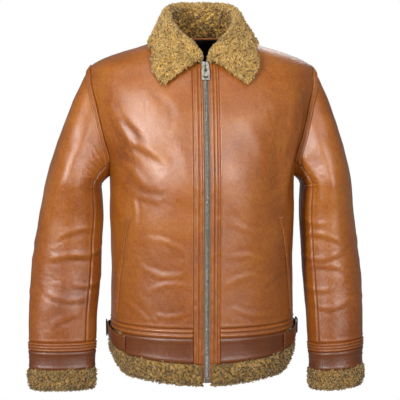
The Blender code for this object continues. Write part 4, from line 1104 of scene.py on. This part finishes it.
def leather_material(name, tones, low_shade):
    """Glossy drum-dyed sheepskin: fine grain, soft mottling, pale worn ridges with painted shade in the
    creases, and painted shade that darkens it towards the hem.
    """
    made, tree, shader, where = base_material(
        name, Specular_IOR_Level=0.55, Coat_Weight=0.40, Coat_Roughness=0.26)
    wear_and_hollow_shade = stored(tree, "wear_and_hollow_shade")
    mottle = sum_of(tree, noise(tree, where, 9.0, 4.0, 0.6), noise(tree, where, 240.0, 4.0, 0.6))
    mottle = scaled(tree, mottle, 0.5, 1.5, 0.05, 0.9)
    # Rubbed wear lightens the ridges; painted shade darkens the creases.
    mottle = sum_of(tree, mottle, scaled(tree, wear_and_hollow_shade, -0.4, 0.4, -0.08, 0.08))
    colour = colour_ramp(tree, mottle, ((0.05, tones[0]), (0.45, tones[1]), (0.95, tones[2])))
    height = add_node(tree, "ShaderNodeSeparateXYZ", {"Vector": where}).outputs["Z"]
    # Painted shade: darker low down, towards the hem.
    low = scaled(tree, height, SHADE_TOP_Z, SHADE_END_Z, 0.0, low_shade)
    colour = multiplied(tree, low, colour, LOW_SHADE_TINT)
    rough = scaled(tree, noise(tree, where, 45.0, 5.0, 0.65), 0.3, 0.7, 0.26, 0.42)
    cells = add_node(tree, "ShaderNodeTexVoronoi", {"Vector": where, "Scale": 620.0},
                     feature="DISTANCE_TO_EDGE").outputs["Distance"]
    grain = sum_of(tree, scaled(tree, cells, 0.0, 0.14, 0.0, 1.0), noise(tree, where, 900.0, 2.0))
    fine = bumped(tree, 0.22, 0.0004, grain)
    rumples = sum_of(tree, noise(tree, where, 110.0, 5.0, 0.6), noise(tree, where, 260.0, 3.0, 0.6))
    link_shader(tree, shader, Base_Color=colour, Roughness=rough, Coat_Normal=fine,
                Normal=bumped(tree, 0.22, 0.0009, rumples, Normal=fine))
    return made


def wool_material(name, tones, has_locks):
    """Curly shearling: dark at the roots, pale at the tips, with fine fibres in the bump; the pile
    without locks gets painted shade in its hollows and painted light on its tufts.
    """
    made, tree, shader, where = base_material(
        name, Roughness=0.85, Specular_IOR_Level=0.25, Sheen_Weight=0.35, Sheen_Roughness=0.45)
    patch = noise(tree, where, 60.0, 3.0, 0.6)
    fibre = noise(tree, where, 900.0, 2.0, 0.7)
    if has_locks:
        tip = stored(tree, "tip")
        tone = stored(tree, "tone")
        value = sum_of(tree, scaled(tree, tip, 0.0, 1.0, -0.10, 0.34),
                       scaled(tree, tone, -1.0, 1.0, -0.55, 0.30))
        value = sum_of(tree, value, scaled(tree, patch, 0.3, 0.7, 0.05, 0.55))
    else:
        wear_and_hollow_shade = stored(tree, "wear_and_hollow_shade")
        # Painted shade darkens the hollows of the pile and painted light brightens the tops of its
        # tufts.
        value = sum_of(tree, scaled(tree, wear_and_hollow_shade, -0.6, 0.6, -0.35, 0.35),
                       scaled(tree, patch, 0.3, 0.7, 0.0, 0.45))
    value = sum_of(tree, value, scaled(tree, fibre, 0.3, 0.7, -0.08, 0.08))
    colour = colour_ramp(tree, value, ((0.0, tones[0]), (0.5, tones[1]), (1.0, tones[2])))
    fuzz = sum_of(tree, fibre, noise(tree, where, 320.0, 3.0, 0.6))
    link_shader(tree, shader, Base_Color=colour, Normal=bumped(tree, 0.5, 0.0012, fuzz))
    return made


def metal_material(name, dark, light, roughness):
    """Worn metal: cloudy tone, fine scratches and uneven polish."""
    made, tree, shader, where = base_material(name, Metallic=1.0)
    cloud = noise(tree, where, 260.0, 4.0, 0.6)
    polish = noise(tree, where, 700.0, 4.0, 0.7)
    link_shader(tree, shader, Base_Color=colour_ramp(tree, cloud, ((0.35, dark), (0.65, light))),
                Roughness=scaled(tree, polish, 0.3, 0.7, roughness - 0.10, roughness + 0.12),
                Normal=bumped(tree, 0.15, 0.0002, noise(tree, where, 1400.0, 2.0)))
    return made


def cloth_material(name, dark, light, scale):
    """Woven tape or thread, with its fine ribs."""
    made, tree, shader, where = base_material(name, Roughness=0.75, Sheen_Weight=0.2)
    ribs = add_node(tree, "ShaderNodeTexWave", {"Vector": where, "Scale": scale,
                                                "Distortion": 0.6}, bands_direction="Z")
    ribs = ribs.outputs["Fac"]
    value = sum_of(tree, scaled(tree, ribs, 0.0, 1.0, 0.0, 0.6),
                   scaled(tree, noise(tree, where, 300.0), 0.3, 0.7, 0.0, 0.4))
    link_shader(tree, shader, Base_Color=colour_ramp(tree, value, ((0.1, dark), (0.9, light))),
                Normal=bumped(tree, 0.5, 0.0003, ribs))
    return made


MATERIALS = {
    "leather": leather_material("leather_tan", LEATHER_TONES, 0.55),
    "band": leather_material("leather_band", BAND_TONES, 0.2),
    "wool": wool_material("wool_curls", WOOL_TONES, True),
    "pile": wool_material("wool_pile", WOOL_TONES, False),
    "hem_wool": wool_material("hem_curls", HEM_TONES, True),
    "hem_pile": wool_material("hem_pile", HEM_TONES, False),
    "inside": wool_material("wool_inside_shaded", INSIDE_SHADED_TONES, False),
    "metal": metal_material("nickel", (0.16, 0.15, 0.125), (0.42, 0.40, 0.345), 0.32),
    "black_metal": metal_material("black_wire", (0.012, 0.012, 0.012), (0.05, 0.05, 0.05), 0.36),
    "tape": cloth_material("zip_tape_cloth", (0.09, 0.07, 0.05), (0.26, 0.22, 0.17), 900.0),
    "thread": cloth_material("thread", (0.10, 0.035, 0.012), (0.30, 0.14, 0.05), 1500.0),
}


def finer(count):
    """A number of grid lines that the lining's coarser grid divides."""
    return int(round(count / PANEL_STEP)) * PANEL_STEP + 1


def panel_lines(back):
    """Angles and heights of a half panel's inner and outer ends, row by row from the waist."""
    sign = -1 if back else 1
    shares = np.linspace(0 if back else PLACKET_SHARE, 1, NECK_ROWS)
    turns = np.linspace(0, pi, ARMHOLE_ROWS + 1)[1:]
    side_angles, side_heights = armhole_angle(sign * turns)
    outer_angles = np.concatenate((np.zeros(len(SIDE_HEIGHTS)), side_angles))
    outer_heights = np.concatenate((SIDE_HEIGHTS, side_heights))
    outer_angles[-1] = 0.0
    neck_angles, neck_heights = neck_angle(shares, back)
    straight = len(outer_heights) - len(shares)
    above = straight - len(SIDE_HEIGHTS)
    rising = np.linspace(ARMHOLE_BOTTOM_Z, neck_heights[0], above + 2)[1:-1]
    inner_heights = np.concatenate((SIDE_HEIGHTS, rising, neck_heights))
    if back:
        centre = np.full(straight, pi / 2)
    else:
        centre = front_angle(PLACKET_OUTER, inner_heights[:straight])
    inner_angles = np.concatenate((centre, neck_angles))
    return inner_angles, inner_heights, outer_angles, outer_heights, turns


def panel(side, back):
    """Outer and inner grids of a front, or of one half of the back."""
    inner_angles, inner_heights, outer_angles, outer_heights, turns = panel_lines(back)
    across = np.linspace(0, 1, PANEL_COLUMNS)[None, :]
    angle = inner_angles[:, None] * (1 - across) + outer_angles[:, None] * across
    height = inner_heights[:, None] * (1 - across) + outer_heights[:, None] * across
    turned = side_angle(angle, side)
    outward = body_normal(turned, height)
    signed = (-1 if back else 1) * np.concatenate(((0.0,), turns))
    outward[len(SIDE_HEIGHTS) - 1:, -1] = mirror(armhole_rim(side, signed), side)
    outer = body(turned, height)
    inner = outer - outward * LEATHER_WALL
    outer = seam_turned(outer, outward, ("last_column", "last_row", "first_row"))
    return outer, inner


def edge_distance(grid, edges):
    """Distance along the cloth from each point of a grid to the nearest of the named edges."""
    rows = np.linalg.norm(np.diff(grid, axis=0), axis=-1)
    columns = np.linalg.norm(np.diff(grid, axis=1), axis=-1)
    down = np.concatenate((np.zeros((1, grid.shape[1])), np.cumsum(rows, axis=0)))
    over = np.concatenate((np.zeros((grid.shape[0], 1)), np.cumsum(columns, axis=1)), axis=1)
    choices = {"first_row": down, "last_row": down[-1:] - down,
               "first_column": over, "last_column": over[:, -1:] - over}
    return np.min([choices[edge] for edge in edges], axis=0)


def seam_turned(grid, outward, edges):
    """The grid with its cloth turned under along the named edges, and a soft roll beside them."""
    away = edge_distance(grid, edges)
    dip = -0.0013 * np.exp(-((away / 0.0014) ** 2)) + 0.0007 * np.exp(-(((away - 0.004) / 0.0025) ** 2))
    return grid + outward * dip[..., None]


def make_panels():
    """Fronts and back: leather outside, shorn wool inside, darkened by painted shade."""
    for side in ("left", "right"):
        shell(f"front_{side}_leather", [panel(side, False)], LEATHER, [f"front_{side}"])
    left, right = (panel(side, True) for side in ("left", "right"))
    joined = [np.concatenate((a[:, :0:-1], b), axis=1) for a, b in zip(right, left)]
    shell("back_leather", [tuple(joined)], LEATHER, ["back"])


def strip_grid(angles, low, high, profile, rows, depth=-LEATHER_WALL):
    """Outer and inner grids round the body between two heights; the profile is share and rise."""
    share = np.linspace(0, 1, rows)
    rise = smooth_curve(*column(profile, 1), share)[:, None]
    angle = np.broadcast_to(angles[None, :], (rows, len(angles)))
    low, high = (np.broadcast_to(value, angles.shape)[None, :] for value in (low, high))
    height = low * (1 - share[:, None]) + high * share[:, None]
    return body(angle, height, rise), body(angle, height, depth)


def make_waist():
    """Ridged strip at the waist seam and the flat bands under it, with their seams."""
    middle = front_angle(PLACKET_OUTER, WAIST_BOTTOM_Z)
    end = front_angle(BAND_END_X, WAIST_BOTTOM_Z)
    spans = {
        "left": (middle, 0.0, middle, end),
        "right": (-pi - middle, -pi, -pi - middle, -pi - end),
        "back": (0.0, pi, -end, pi + end),
    }
    for name, (start, stop, band_start, band_stop) in spans.items():
        columns = finer(165 if name == "back" else 90)
        angles = np.linspace(start, stop, columns)
        ends = edge_roll(angles)
        outer, inner = strip_grid(angles, WAIST_BOTTOM_Z, WAIST_TOP_Z, WAIST_RIDGES, finer(18))
        outer = outer + (inner - outer) * ends[None, :, None]
        shell(f"waist_strip_{name}_leather", [(outer, inner)], LEATHER,
              [f"waist_strip_{name}"])
        angles = np.linspace(band_start, band_stop, columns)
        outer, inner = strip_grid(angles, hem_height(angles, "wool_top"), WAIST_BOTTOM_Z,
                                  BAND_ROLL, finer(21))
        outer = outer + (inner - outer) * edge_roll(angles)[None, :, None]
        shell(f"waist_band_{name}_leather", [(outer, inner)], BAND,
              [f"waist_band_{name}"])


def edge_roll(angles):
    """Share by which a strip's ends turn in, for a rounded sewn edge."""
    away = np.minimum(np.abs(angles - angles[0]), np.abs(angles[-1] - angles)) * 0.19
    return 0.35 * np.exp(-((away / 0.0012) ** 2))


def make_plackets():
    """Ridged strips beside the zip, whose narrow inner edge runs on down through the hem."""
    for side in ("left", "right"):
        x = np.linspace(FRONT_EDGE, PLACKET_OUTER, finer(27))
        rise = smooth_curve(*column(PLACKET_RIDGES, 1), x)
        bottom = hem_height(front_angle(x, WAIST_BOTTOM_Z), "wool_top")
        share = np.linspace(0, 1, finer(165))[:, None]
        height = bottom[None, :] * (1 - share) + neck_height(x)[None, :] * share
        narrow = x[: finer(6)]
        hem_share = np.linspace(0, 1, finer(24))[:, None]
        patches = []
        for levels, across, lift in (
            (height, x, rise[None, :]),
            (ZIP_BOTTOM_Z * (1 - hem_share) + (bottom[: len(narrow)] + 0.001) * hem_share, narrow,
             rise[None, : len(narrow)]),
        ):
            angle = side_angle(front_angle(across[None, :], levels), side)
            pucker = 0.00035 * ripple(body_base(angle, levels), 0.016, 31)
            patches.append((body(angle, levels, lift + pucker), body(angle, levels, -LEATHER_WALL)))
        shell(f"placket_{side}_leather", patches, LEATHER, [f"placket_{side}"])


def sleeve_grid(side, turns, along, lift=0.0, depth=LEATHER_WALL):
    """Outer and inner grids of part of a sleeve, in place on its own side."""
    outer = mirror(sleeve(side, turns[None, :], along[:, None], lift), side)
    inner = mirror(sleeve(side, turns[None, :], along[:, None], -depth), side)
    return outer, inner


def make_sleeves():
    """Upper and under sleeve of each arm, with the welt that covers the armhole seam."""
    spans = {"upper": (FRONT_SEAM, 2 * pi + BACK_SEAM, 90), "under": (BACK_SEAM, FRONT_SEAM, 45)}
    for side in ("left", "right"):
        lower = along_at(np.linspace(CAP_BASE_Z, CUFF_HEIGHTS[side]["strip"], finer(99)))
        along = np.concatenate((np.linspace(0, 1, finer(54))[:-1], lower))
        along = along[: finer(len(along) - 1)]
        along[-1] = lower[-1]
        for name, (start, stop, columns) in spans.items():
            turns = np.linspace(start, stop, finer(columns))
            outer, inner = sleeve_grid(side, turns, along)
            outward = unit(outer - inner)
            outer = seam_turned(outer, outward, ("first_column", "last_column", "last_row"))
            shell(f"sleeve_{name}_{side}_leather", [(outer, inner)], LEATHER,
                  [f"sleeve_{name}_{side}"])


def make_welts():
    """Raised topstitched strip on the sleeve beside the armhole seam."""
    turns = np.linspace(WELT_START, WELT_END, finer(132))
    distance = np.linspace(WELT_RIDGES[0][0], WELT_RIDGES[-1][0], finer(27))
    rise = smooth_curve(*column(WELT_RIDGES, 1), distance)[:, None]
    for side in ("left", "right"):
        along = along_for_distance(side, turns, distance)
        turn = np.broadcast_to(turns[None, :], along.shape)
        outer = mirror(sleeve(side, turn, along, WELT_LIFT + rise), side)
        inner = mirror(sleeve(side, turn, along, 0.0002), side)
        shell(f"armhole_welt_{side}_leather", [(outer, inner)], LEATHER,
              [f"armhole_welt_{side}"])


def make_cuffs():
    """Ridged strip and flat band of each cuff."""
    turns = np.linspace(0, 2 * pi, 120, endpoint=False)
    for side in ("left", "right"):
        levels = CUFF_HEIGHTS[side]
        for name, high, low, profile, stuff, slot in (
            ("strip", "strip", "band", CUFF_RIDGES, LEATHER, "leather"),
            ("band", "band", "wool", BAND_ROLL, BAND, "dark_leather"),
        ):
            share = np.linspace(0, 1, finer(21))
            rise = smooth_curve(*column(profile, 1), share)[:, None]
            along = along_at(levels[high] * (1 - share) + levels[low] * share)
            outer, inner = sleeve_grid(side, turns, along, rise)
            shell(f"cuff_{name}_{side}_leather", [(outer, inner)], stuff,
                  [f"cuff_{name}_{side}"], ring=True)


def lumpy(grid, outward, seed, deep):
    """A pile surface: the grid sunk below the tips of its locks and broken into small tufts."""
    tufts = ripple(grid, 0.0075, seed, 26) * 0.6 + ripple(grid, 0.0040, seed + 1, 26) * 0.4
    return grid + outward * (tufts * 0.0009 - deep)[..., None]


def make_cuff_wool():
    """Shearling edge of each cuff: a lumpy pile under curled locks."""
    turns = np.linspace(0, 2 * pi, 180, endpoint=False)
    for side in ("left", "right"):
        rng = np.random.default_rng(51 if side == "left" else 52)
        levels = CUFF_HEIGHTS[side]
        share = np.linspace(0, 1, finer(30))
        rise = smooth_curve(*column(CUFF_PILE, 1), share)[:, None]
        deep = smooth_curve(*column(CUFF_PILE, 2), share)[:, None]
        along = along_at(levels["wool"] * (1 - share) + levels["end"] * share)
        outer, inner = sleeve_grid(side, turns, along, rise, deep)
        outward = unit(outer - inner)
        pile = lumpy(outer, outward, 61, 0.0012)
        shell(f"cuff_wool_{side}_pile", [(pile, inner)], HEM_PILE,
              [f"cuff_wool_{side}"], ring=True)
        closed = np.concatenate((outer, outer[:, :1]), axis=1)
        sign = np.sign((unit(np.cross(closed[0, 1] - closed[0, 0], closed[1, 0] - closed[0, 0]))
                        @ outward[0, 0]))
        sunk = np.concatenate((outward, outward[:, :1]), axis=1) * ROOT_DEPTH
        roots = scatter(closed - sunk, CUFF_LOCKS, rng, sign)
        curls(f"cuff_wool_{side}_curls", roots, CUFF_LOCK, rng, "hem_wool")
        rim = np.stack((closed[-1], np.concatenate((inner, inner[:, :1]), axis=1)[-1]))
        place, _, run = scatter(rim, CUFF_RIM_LOCKS, rng)
        down = np.broadcast_to(np.array((0.0, 0.0, -1.0)), place.shape)
        curls(f"cuff_wool_{side}_rim", (place, down, run), CUFF_RIM_LOCK, rng, "hem_wool")


def make_hem_wool():
    """Shearling round the hem, which rises at the sides between the ends of the bands."""
    middle = front_angle(HEM_WOOL_START_X, HEM_HEIGHTS[-1][1])
    end = front_angle(BAND_END_X, WAIST_BOTTOM_Z)
    spans = {"left": (middle, 0.0), "right": (-pi, -pi - middle), "back": (0.0, pi)}
    notches = {"left": ((end, 0.0),), "right": ((-pi, -pi - end),), "back": ((0, -end), (pi + end, pi))}
    for name, (start, stop) in spans.items():
        rng = np.random.default_rng({"left": 71, "right": 72, "back": 73}[name])
        angles = np.linspace(start, stop, finer(240 if name == "back" else 120))
        top = hem_height(angles, "wool_top") - SEAM_GAP
        bottom = hem_height(angles, "wool_end")
        fields = [(angles, bottom, top, HEM_PILE_SECTION, finer(30), 1.0)]
        for first, last in notches[name]:
            group = np.linspace(min(first, last), max(first, last), finer(27))
            fields.append((group, hem_height(group, "wool_top") - 0.002,
                           np.full(len(group), WAIST_BOTTOM_Z - SEAM_GAP), NOTCH_SECTION, finer(21),
                           0.6))
        patches = []
        roots = []
        for group, low, high, section, rows, weight in fields:
            share = np.linspace(0, 1, rows)[:, None]
            rise = smooth_curve(*column(section, 1), share[:, 0])[:, None]
            deep = smooth_curve(*column(section, 2), share[:, 0])[:, None]
            angle = np.broadcast_to(group[None, :], (rows, len(group)))
            height = low[None, :] * (1 - share) + high[None, :] * share
            outer = body(angle, height, rise)
            inner = body(angle, height, -deep)
            outward = unit(outer - inner)
            patches.append((lumpy(outer, outward, 81, 0.0012), inner))
            area = np.linalg.norm(outer[-1, 0] - outer[0, 0]) * np.linalg.norm(
                np.diff(outer[rows // 2], axis=0), axis=1).sum()
            count = int(area * LOCKS_PER_METRE2 * weight)
            place, normal, down = scatter(outer - outward * ROOT_DEPTH, count, rng)
            facing = np.sign((normal * (place * (1, 1, 0))).sum(axis=1, keepdims=True))
            roots.append((place, normal * facing, down))
        rim = np.stack((body(angles, bottom, HEM_PILE_SECTION[0][1]),
                        body(angles, bottom, -HEM_PILE_SECTION[0][2])))
        place, _, along = scatter(rim, HEM_RIM_LOCKS[name], rng)
        roots.append((place, np.broadcast_to(np.array((0.0, 0.0, -1.0)), place.shape), along))
        shell(f"hem_wool_{name}_pile", patches, HEM_PILE, [f"hem_wool_{name}"])
        joined = [np.concatenate(group) for group in zip(*roots)]
        curls(f"hem_wool_{name}_curls", joined, HEM_LOCK, rng, "hem_wool")


def make_collar():
    """Folded shearling collar: its wool side covered in locks, with painted shade on the locks inside
    the neck.
    """
    places = np.linspace(0, 1, 121)
    shares = np.linspace(0, 1, finer(90))
    outer, inner = collar_grid(places, shares)
    outer = outer[: finer(len(outer) - 1)]
    inner = inner[: len(outer)]
    outward = unit(outer - inner)
    pile = lumpy(outer, outward, 91, 0.0016)
    shell("collar_pile", [(pile, inner)], [MATERIALS["pile"], MATERIALS["leather"]],
          ["collar"])
    # The last value of each set is painted shade, strongest on the stand inside the neck.
    for name, (row, col, count, dark) in COLLAR_LOCKS.items():
        rng = np.random.default_rng(len(name) + 100)
        patch = (outer - outward * COLLAR_ROOT_DEPTH)[row, col]
        place, normal, down = scatter(patch, count, rng)
        sign = np.sign((np.cross(patch[0, 1] - patch[0, 0], patch[1, 0] - patch[0, 0]))
                       @ outward[row, col][0, 0])
        curls(f"collar_{name}_curls", (place, normal * sign, down), COLLAR_LOCK, rng, "wool", dark)
    middle = (outer + inner) / 2
    for name, line, past in (("edge", middle[:, -1], outer[:, -1] - outer[:, -3]),
                             ("end_left", middle[-1], outer[-1] - outer[-3]),
                             ("end_right", middle[0], outer[0] - outer[2])):
        rng = np.random.default_rng(len(name) + 120)
        pick = rng.uniform(0, len(line) - 1.001, COLLAR_EDGE_LOCKS[name])
        low = pick.astype(int)
        place = line[low] + (line[low + 1] - line[low]) * (pick - low)[:, None]
        out = unit(past)[low]
        run = unit(line[low + 1] - line[low])
        place = place + rng.normal(size=place.shape) * 0.0016
        roots = (place - out * COLLAR_ROOT_DEPTH, out, run)
        curls(f"collar_{name}_curls", roots, COLLAR_EDGE_LOCK, rng, "wool")


def pocket_line(count):
    """Heights down the middle line of a pocket, and its distances from the zip."""
    knots = np.array(sorted(POCKET_LINE, key=lambda row: row[1]))
    level = np.linspace(knots[0, 1], knots[-1, 1], count)
    return level, smooth_curve(knots[:, 1], knots[:, 0], level)


def make_pockets():
    """Two piped lips along each slanted pocket."""
    level, middle = pocket_line(finer(105))
    for side in ("left", "right"):
        for number, name in enumerate(("front", "back")):
            start = (number - 1) * POCKET_LIP_WIDTH + (SEAM_GAP / 2 if number else 0)
            stop = number * POCKET_LIP_WIDTH - (0 if number else SEAM_GAP / 2)
            across = np.linspace(start, stop, finer(15))
            share = np.linspace(0, 1, len(across))
            rise = POCKET_RISE * np.sin(pi * share) ** 0.6
            angle = front_angle(middle, level)[:, None] + across[None, :] / BODY_SECTIONS[2][2]
            angle = side_angle(angle, side)
            height = np.broadcast_to(level[:, None], angle.shape)
            pucker = 0.00030 * ripple(body_base(angle, height), 0.012, 33)
            outer = body(angle, height, POCKET_LIFT + rise[None, :] + pucker)
            inner = body(angle, height, 0.0001)
            shell(f"pocket_lip_{name}_{side}_leather", [(outer, inner)], LEATHER,
                  [f"pocket_lip_{name}_{side}"])


def make_straps():
    """Leather strap across each hem notch, thinned and rounded to its edges."""
    rows = np.array(STRAP_ROWS)
    degrees = np.linspace(rows[0, 0], rows[-1, 0], finer(90))
    top, bottom, lift = (smooth_curve(rows[:, 0], rows[:, i], degrees) for i in (1, 2, 3))
    share = np.linspace(0, 1, finer(30))[:, None]
    round_edge = np.sqrt(np.clip(1 - np.abs(2 * share - 1) ** 6, 0, 1))
    for side in ("left", "right"):
        angle = np.broadcast_to(side_angle(np.radians(degrees), side)[None, :],
                                (len(share), len(degrees)))
        height = bottom[None, :] * (1 - share) + top[None, :] * share
        outer = body(angle, height, lift[None, :] + STRAP_THICKNESS * (0.35 + 0.65 * round_edge))
        inner = body(angle, height, lift[None, :] + 0.0002)
        shell(f"side_strap_{side}_leather", [(outer, inner)], STRAP,
              [f"side_strap_{side}"])


def make_teeth():
    """Interlocked metal teeth down the middle of the front, on the cords of their tapes."""
    levels = np.arange(SLIDER_Z - 0.006, ZIP_BOTTOM_Z + ZIP_BOX_SIZE[1], -TOOTH_PITCH / 2)
    side = np.where(np.arange(len(levels)) % 2 == 0, 1.0, -1.0)
    reach = np.array((-0.0008, 0.0002, 0.0016, 0.0031))
    x = side[:, None] * reach[None, :]
    height = np.broadcast_to(levels[:, None], x.shape)
    lines = front_point(x, height, -0.0006)
    radii = np.broadcast_to(np.array((0.00062, 0.00088, 0.00080, 0.00086)), x.shape)
    out = body_normal(np.full(len(levels), -pi / 2), levels)
    made = tubes("zip_teeth", lines, radii, np.cross(out, (1.0, 0.0, 0.0)), 6, MATERIALS["metal"],
                 flatten=1.6)
    dress(made, ["zip_chain"])
    knots = np.linspace(ZIP_TOP_Z, ZIP_BOTTOM_Z + ZIP_BOX_SIZE[1], 120)
    cords = []
    for shift in (-ZIP_CHAIN_HALF, ZIP_CHAIN_HALF):
        cords.append(front_point(np.full(len(knots), shift), knots, -0.0012))
    made = tubes("zip_cords", np.array(cords), np.full((2, len(knots)), 0.0009),
                 np.array(((0.0, -1.0, 0.0),) * 2), 8, MATERIALS["tape"])
    dress(made)


def make_tapes():
    """Woven tapes beside the teeth, a little below the leather."""
    levels = np.linspace(ZIP_TOP_Z, ZIP_BOTTOM_Z + ZIP_BOX_SIZE[1] + GAP_TO_SEAT, finer(240))[:, None]
    for side, sign in (("left", 1.0), ("right", -1.0)):
        x = sign * np.linspace(ZIP_CHAIN_HALF + 0.0001, FRONT_EDGE + 0.0006, finer(9))[None, :]
        x, height = np.broadcast_arrays(x, levels)
        weave = 0.0001 * ripple(front_point(x, height), 0.004, 35)
        shell(f"zip_tape_{side}_cloth", [(front_point(x, height, -0.0014 + weave),
                                          front_point(x, height, -0.0028))],
              [MATERIALS["tape"]] * 2, [f"zip_tape_{side}"])


def make_slider():
    """Slider in the shape of a shield, with side walls that hold the chain."""
    width, length, thick = SLIDER_SIZE
    outline_points = [(-0.5, 0.5), (-0.36, 0.62), (-0.12, 0.55), (0.0, 0.50), (0.12, 0.55),
                      (0.36, 0.62), (0.5, 0.5), (0.5, 0.12), (0.40, -0.28), (0.36, -0.5),
                      (-0.36, -0.5), (-0.40, -0.28), (-0.5, 0.12)]
    plate = bmesh.new()
    corners = [plate.verts.new((x * width, y * length * 0.9, 0)) for x, y in outline_points]
    face = plate.faces.new(corners[::-1])
    raised = bmesh.ops.extrude_face_region(plate, geom=[face])["geom"]
    top = [item for item in raised if isinstance(item, bmesh.types.BMVert)]
    bmesh.ops.translate(plate, vec=(0, 0, thick * 0.62), verts=top)
    bmesh.ops.recalc_face_normals(plate, faces=plate.faces)
    mesh = bpy.data.meshes.new("slider")
    plate.to_mesh(mesh)
    plate.free()
    mesh.materials.append(MATERIALS["metal"])
    made = bpy.data.objects.new("zip_slider_shield", mesh)
    bpy.context.scene.collection.objects.link(made)
    rounding = made.modifiers.new("rounding", "BEVEL")
    rounding.width = 0.0007
    rounding.segments = 3
    rounding.limit_method = "ANGLE"
    place = front_frame(SLIDER_Z, SLIDER_LIFT)
    made.matrix_world = place @ Matrix.Translation((0, SLIDER_SHIFT, thick * 0.36))
    mesh.shade_smooth()
    mesh.set_sharp_from_angle(angle=radians(50))
    dress(made, ["zip_slider"])


def make_stitching():
    """Topstitching beside the seams."""
    runs = []

    def on_body(angle, height, lift):
        angle, height = np.broadcast_arrays(angle, height)
        runs.append((body(angle, height, lift), body_normal(angle, height)))

    def on_sleeve(side, turns, along, lift):
        points = mirror(sleeve(side, turns, along, lift), side)
        runs.append((points, mirror(sleeve_normal(side, turns, along), side)))

    for side in ("left", "right"):
        for x, lift in PLACKET_STITCHES:
            levels = np.linspace(WAIST_BOTTOM_Z + 0.002, neck_height(x) - 0.002, 300)
            on_body(side_angle(front_angle(np.full(300, x), levels), side), levels, lift)
        level, middle = pocket_line(120)
        line = front_angle(middle, level)
        for shift in (-POCKET_LIP_WIDTH - 0.0022, POCKET_LIP_WIDTH + 0.0022):
            on_body(side_angle(line + shift / BODY_SECTIONS[2][2], side), level, 0.0004)
        turns = np.linspace(WELT_START, WELT_END, 260)
        for distance in WELT_STITCHES:
            along = along_for_distance(side, turns, np.array((distance,)))[0]
            rise = float(smooth_curve(*column(WELT_RIDGES, 1), np.array(distance)))
            on_sleeve(side, turns, along, WELT_LIFT + rise + 0.0002)
        levels = CUFF_HEIGHTS[side]
        around = np.linspace(0, 2 * pi, 240)
        for share in CUFF_STITCHES:
            height = levels["strip"] + (levels["band"] - levels["strip"]) * share
            on_sleeve(side, around, np.full(240, along_at(height)), 0.0009)
        for seam in (FRONT_SEAM, BACK_SEAM):
            along = np.concatenate((np.linspace(0.05, 1, 60),
                                    along_at(np.linspace(CAP_BASE_Z - 0.01, levels["strip"], 60))))
            on_sleeve(side, np.full(len(along), seam + 0.075), along, 0.0008)
    start = front_angle(PLACKET_OUTER, WAIST_BOTTOM_Z)
    around = np.linspace(start, pi - start, 900)
    for height in (WAIST_BOTTOM_Z - 0.0035, (WAIST_BOTTOM_Z + WAIST_TOP_Z) / 2, WAIST_TOP_Z + 0.0035):
        on_body(around, np.full(900, height), 0.0009)
    stitches("topstitching", runs)


def make_hard_parts():
    """Better finishes on the solids that stay: pull, bridge, box, buckles and prongs."""
    for name in ("zip_pull", "zip_bridge", "zip_box", "side_prong_left", "side_prong_right",
                 "side_buckle_left", "side_buckle_right"):
        kind = "black_metal" if "buckle" in name else "metal"
        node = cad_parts[name]
        node.data.materials.clear()
        node.data.materials.append(MATERIALS[kind])


def place_aimed(name, data, place, target):
    """Object of a light or camera at a place, turned to its target."""
    made = bpy.data.objects.new(name, data)
    made.location = place
    aim = Vector(target) - Vector(place)
    made.rotation_euler = aim.to_track_quat("-Z", "Y").to_euler()
    bpy.context.scene.collection.objects.link(made)
    return made


def make_studio():
    """White studio with soft lights, and the camera at the photograph's view."""
    world = bpy.data.worlds.new("studio")
    world.use_nodes = True
    tree = world.node_tree
    tree.nodes["Background"].inputs["Color"].default_value = (1, 1, 1, 1)
    seen = add_node(tree, "ShaderNodeLightPath").outputs["Is Camera Ray"]
    tree.links.new(scaled(tree, seen, 0.0, 1.0, AMBIENT, 1.0),
                   tree.nodes["Background"].inputs["Strength"])
    bpy.context.scene.world = world
    bpy.context.scene.view_settings.view_transform = "Standard"
    for name, place, size, power in LIGHTS:
        lamp = bpy.data.lights.new(name, "AREA")
        lamp.shape = "RECTANGLE"
        lamp.size, lamp.size_y = size
        lamp.energy = power
        place_aimed(name, lamp, place, LIGHT_AIM)
    camera = bpy.data.cameras.new("camera")
    camera.lens = LENS
    bpy.context.scene.camera = place_aimed("camera", camera, CAMERA_PLACE, CAMERA_AIM)


LEATHER = [MATERIALS["leather"], MATERIALS["inside"]]
BAND = [MATERIALS["band"], MATERIALS["inside"]]
STRAP = [MATERIALS["band"], MATERIALS["band"]]
HEM_PILE = [MATERIALS["hem_pile"], MATERIALS["hem_pile"]]

make_studio()
make_panels()
make_waist()
make_plackets()
make_sleeves()
make_welts()
make_cuffs()
make_cuff_wool()
make_hem_wool()
make_collar()
make_pockets()
make_straps()
make_tapes()
make_teeth()
make_slider()
make_stitching()
make_hard_parts()
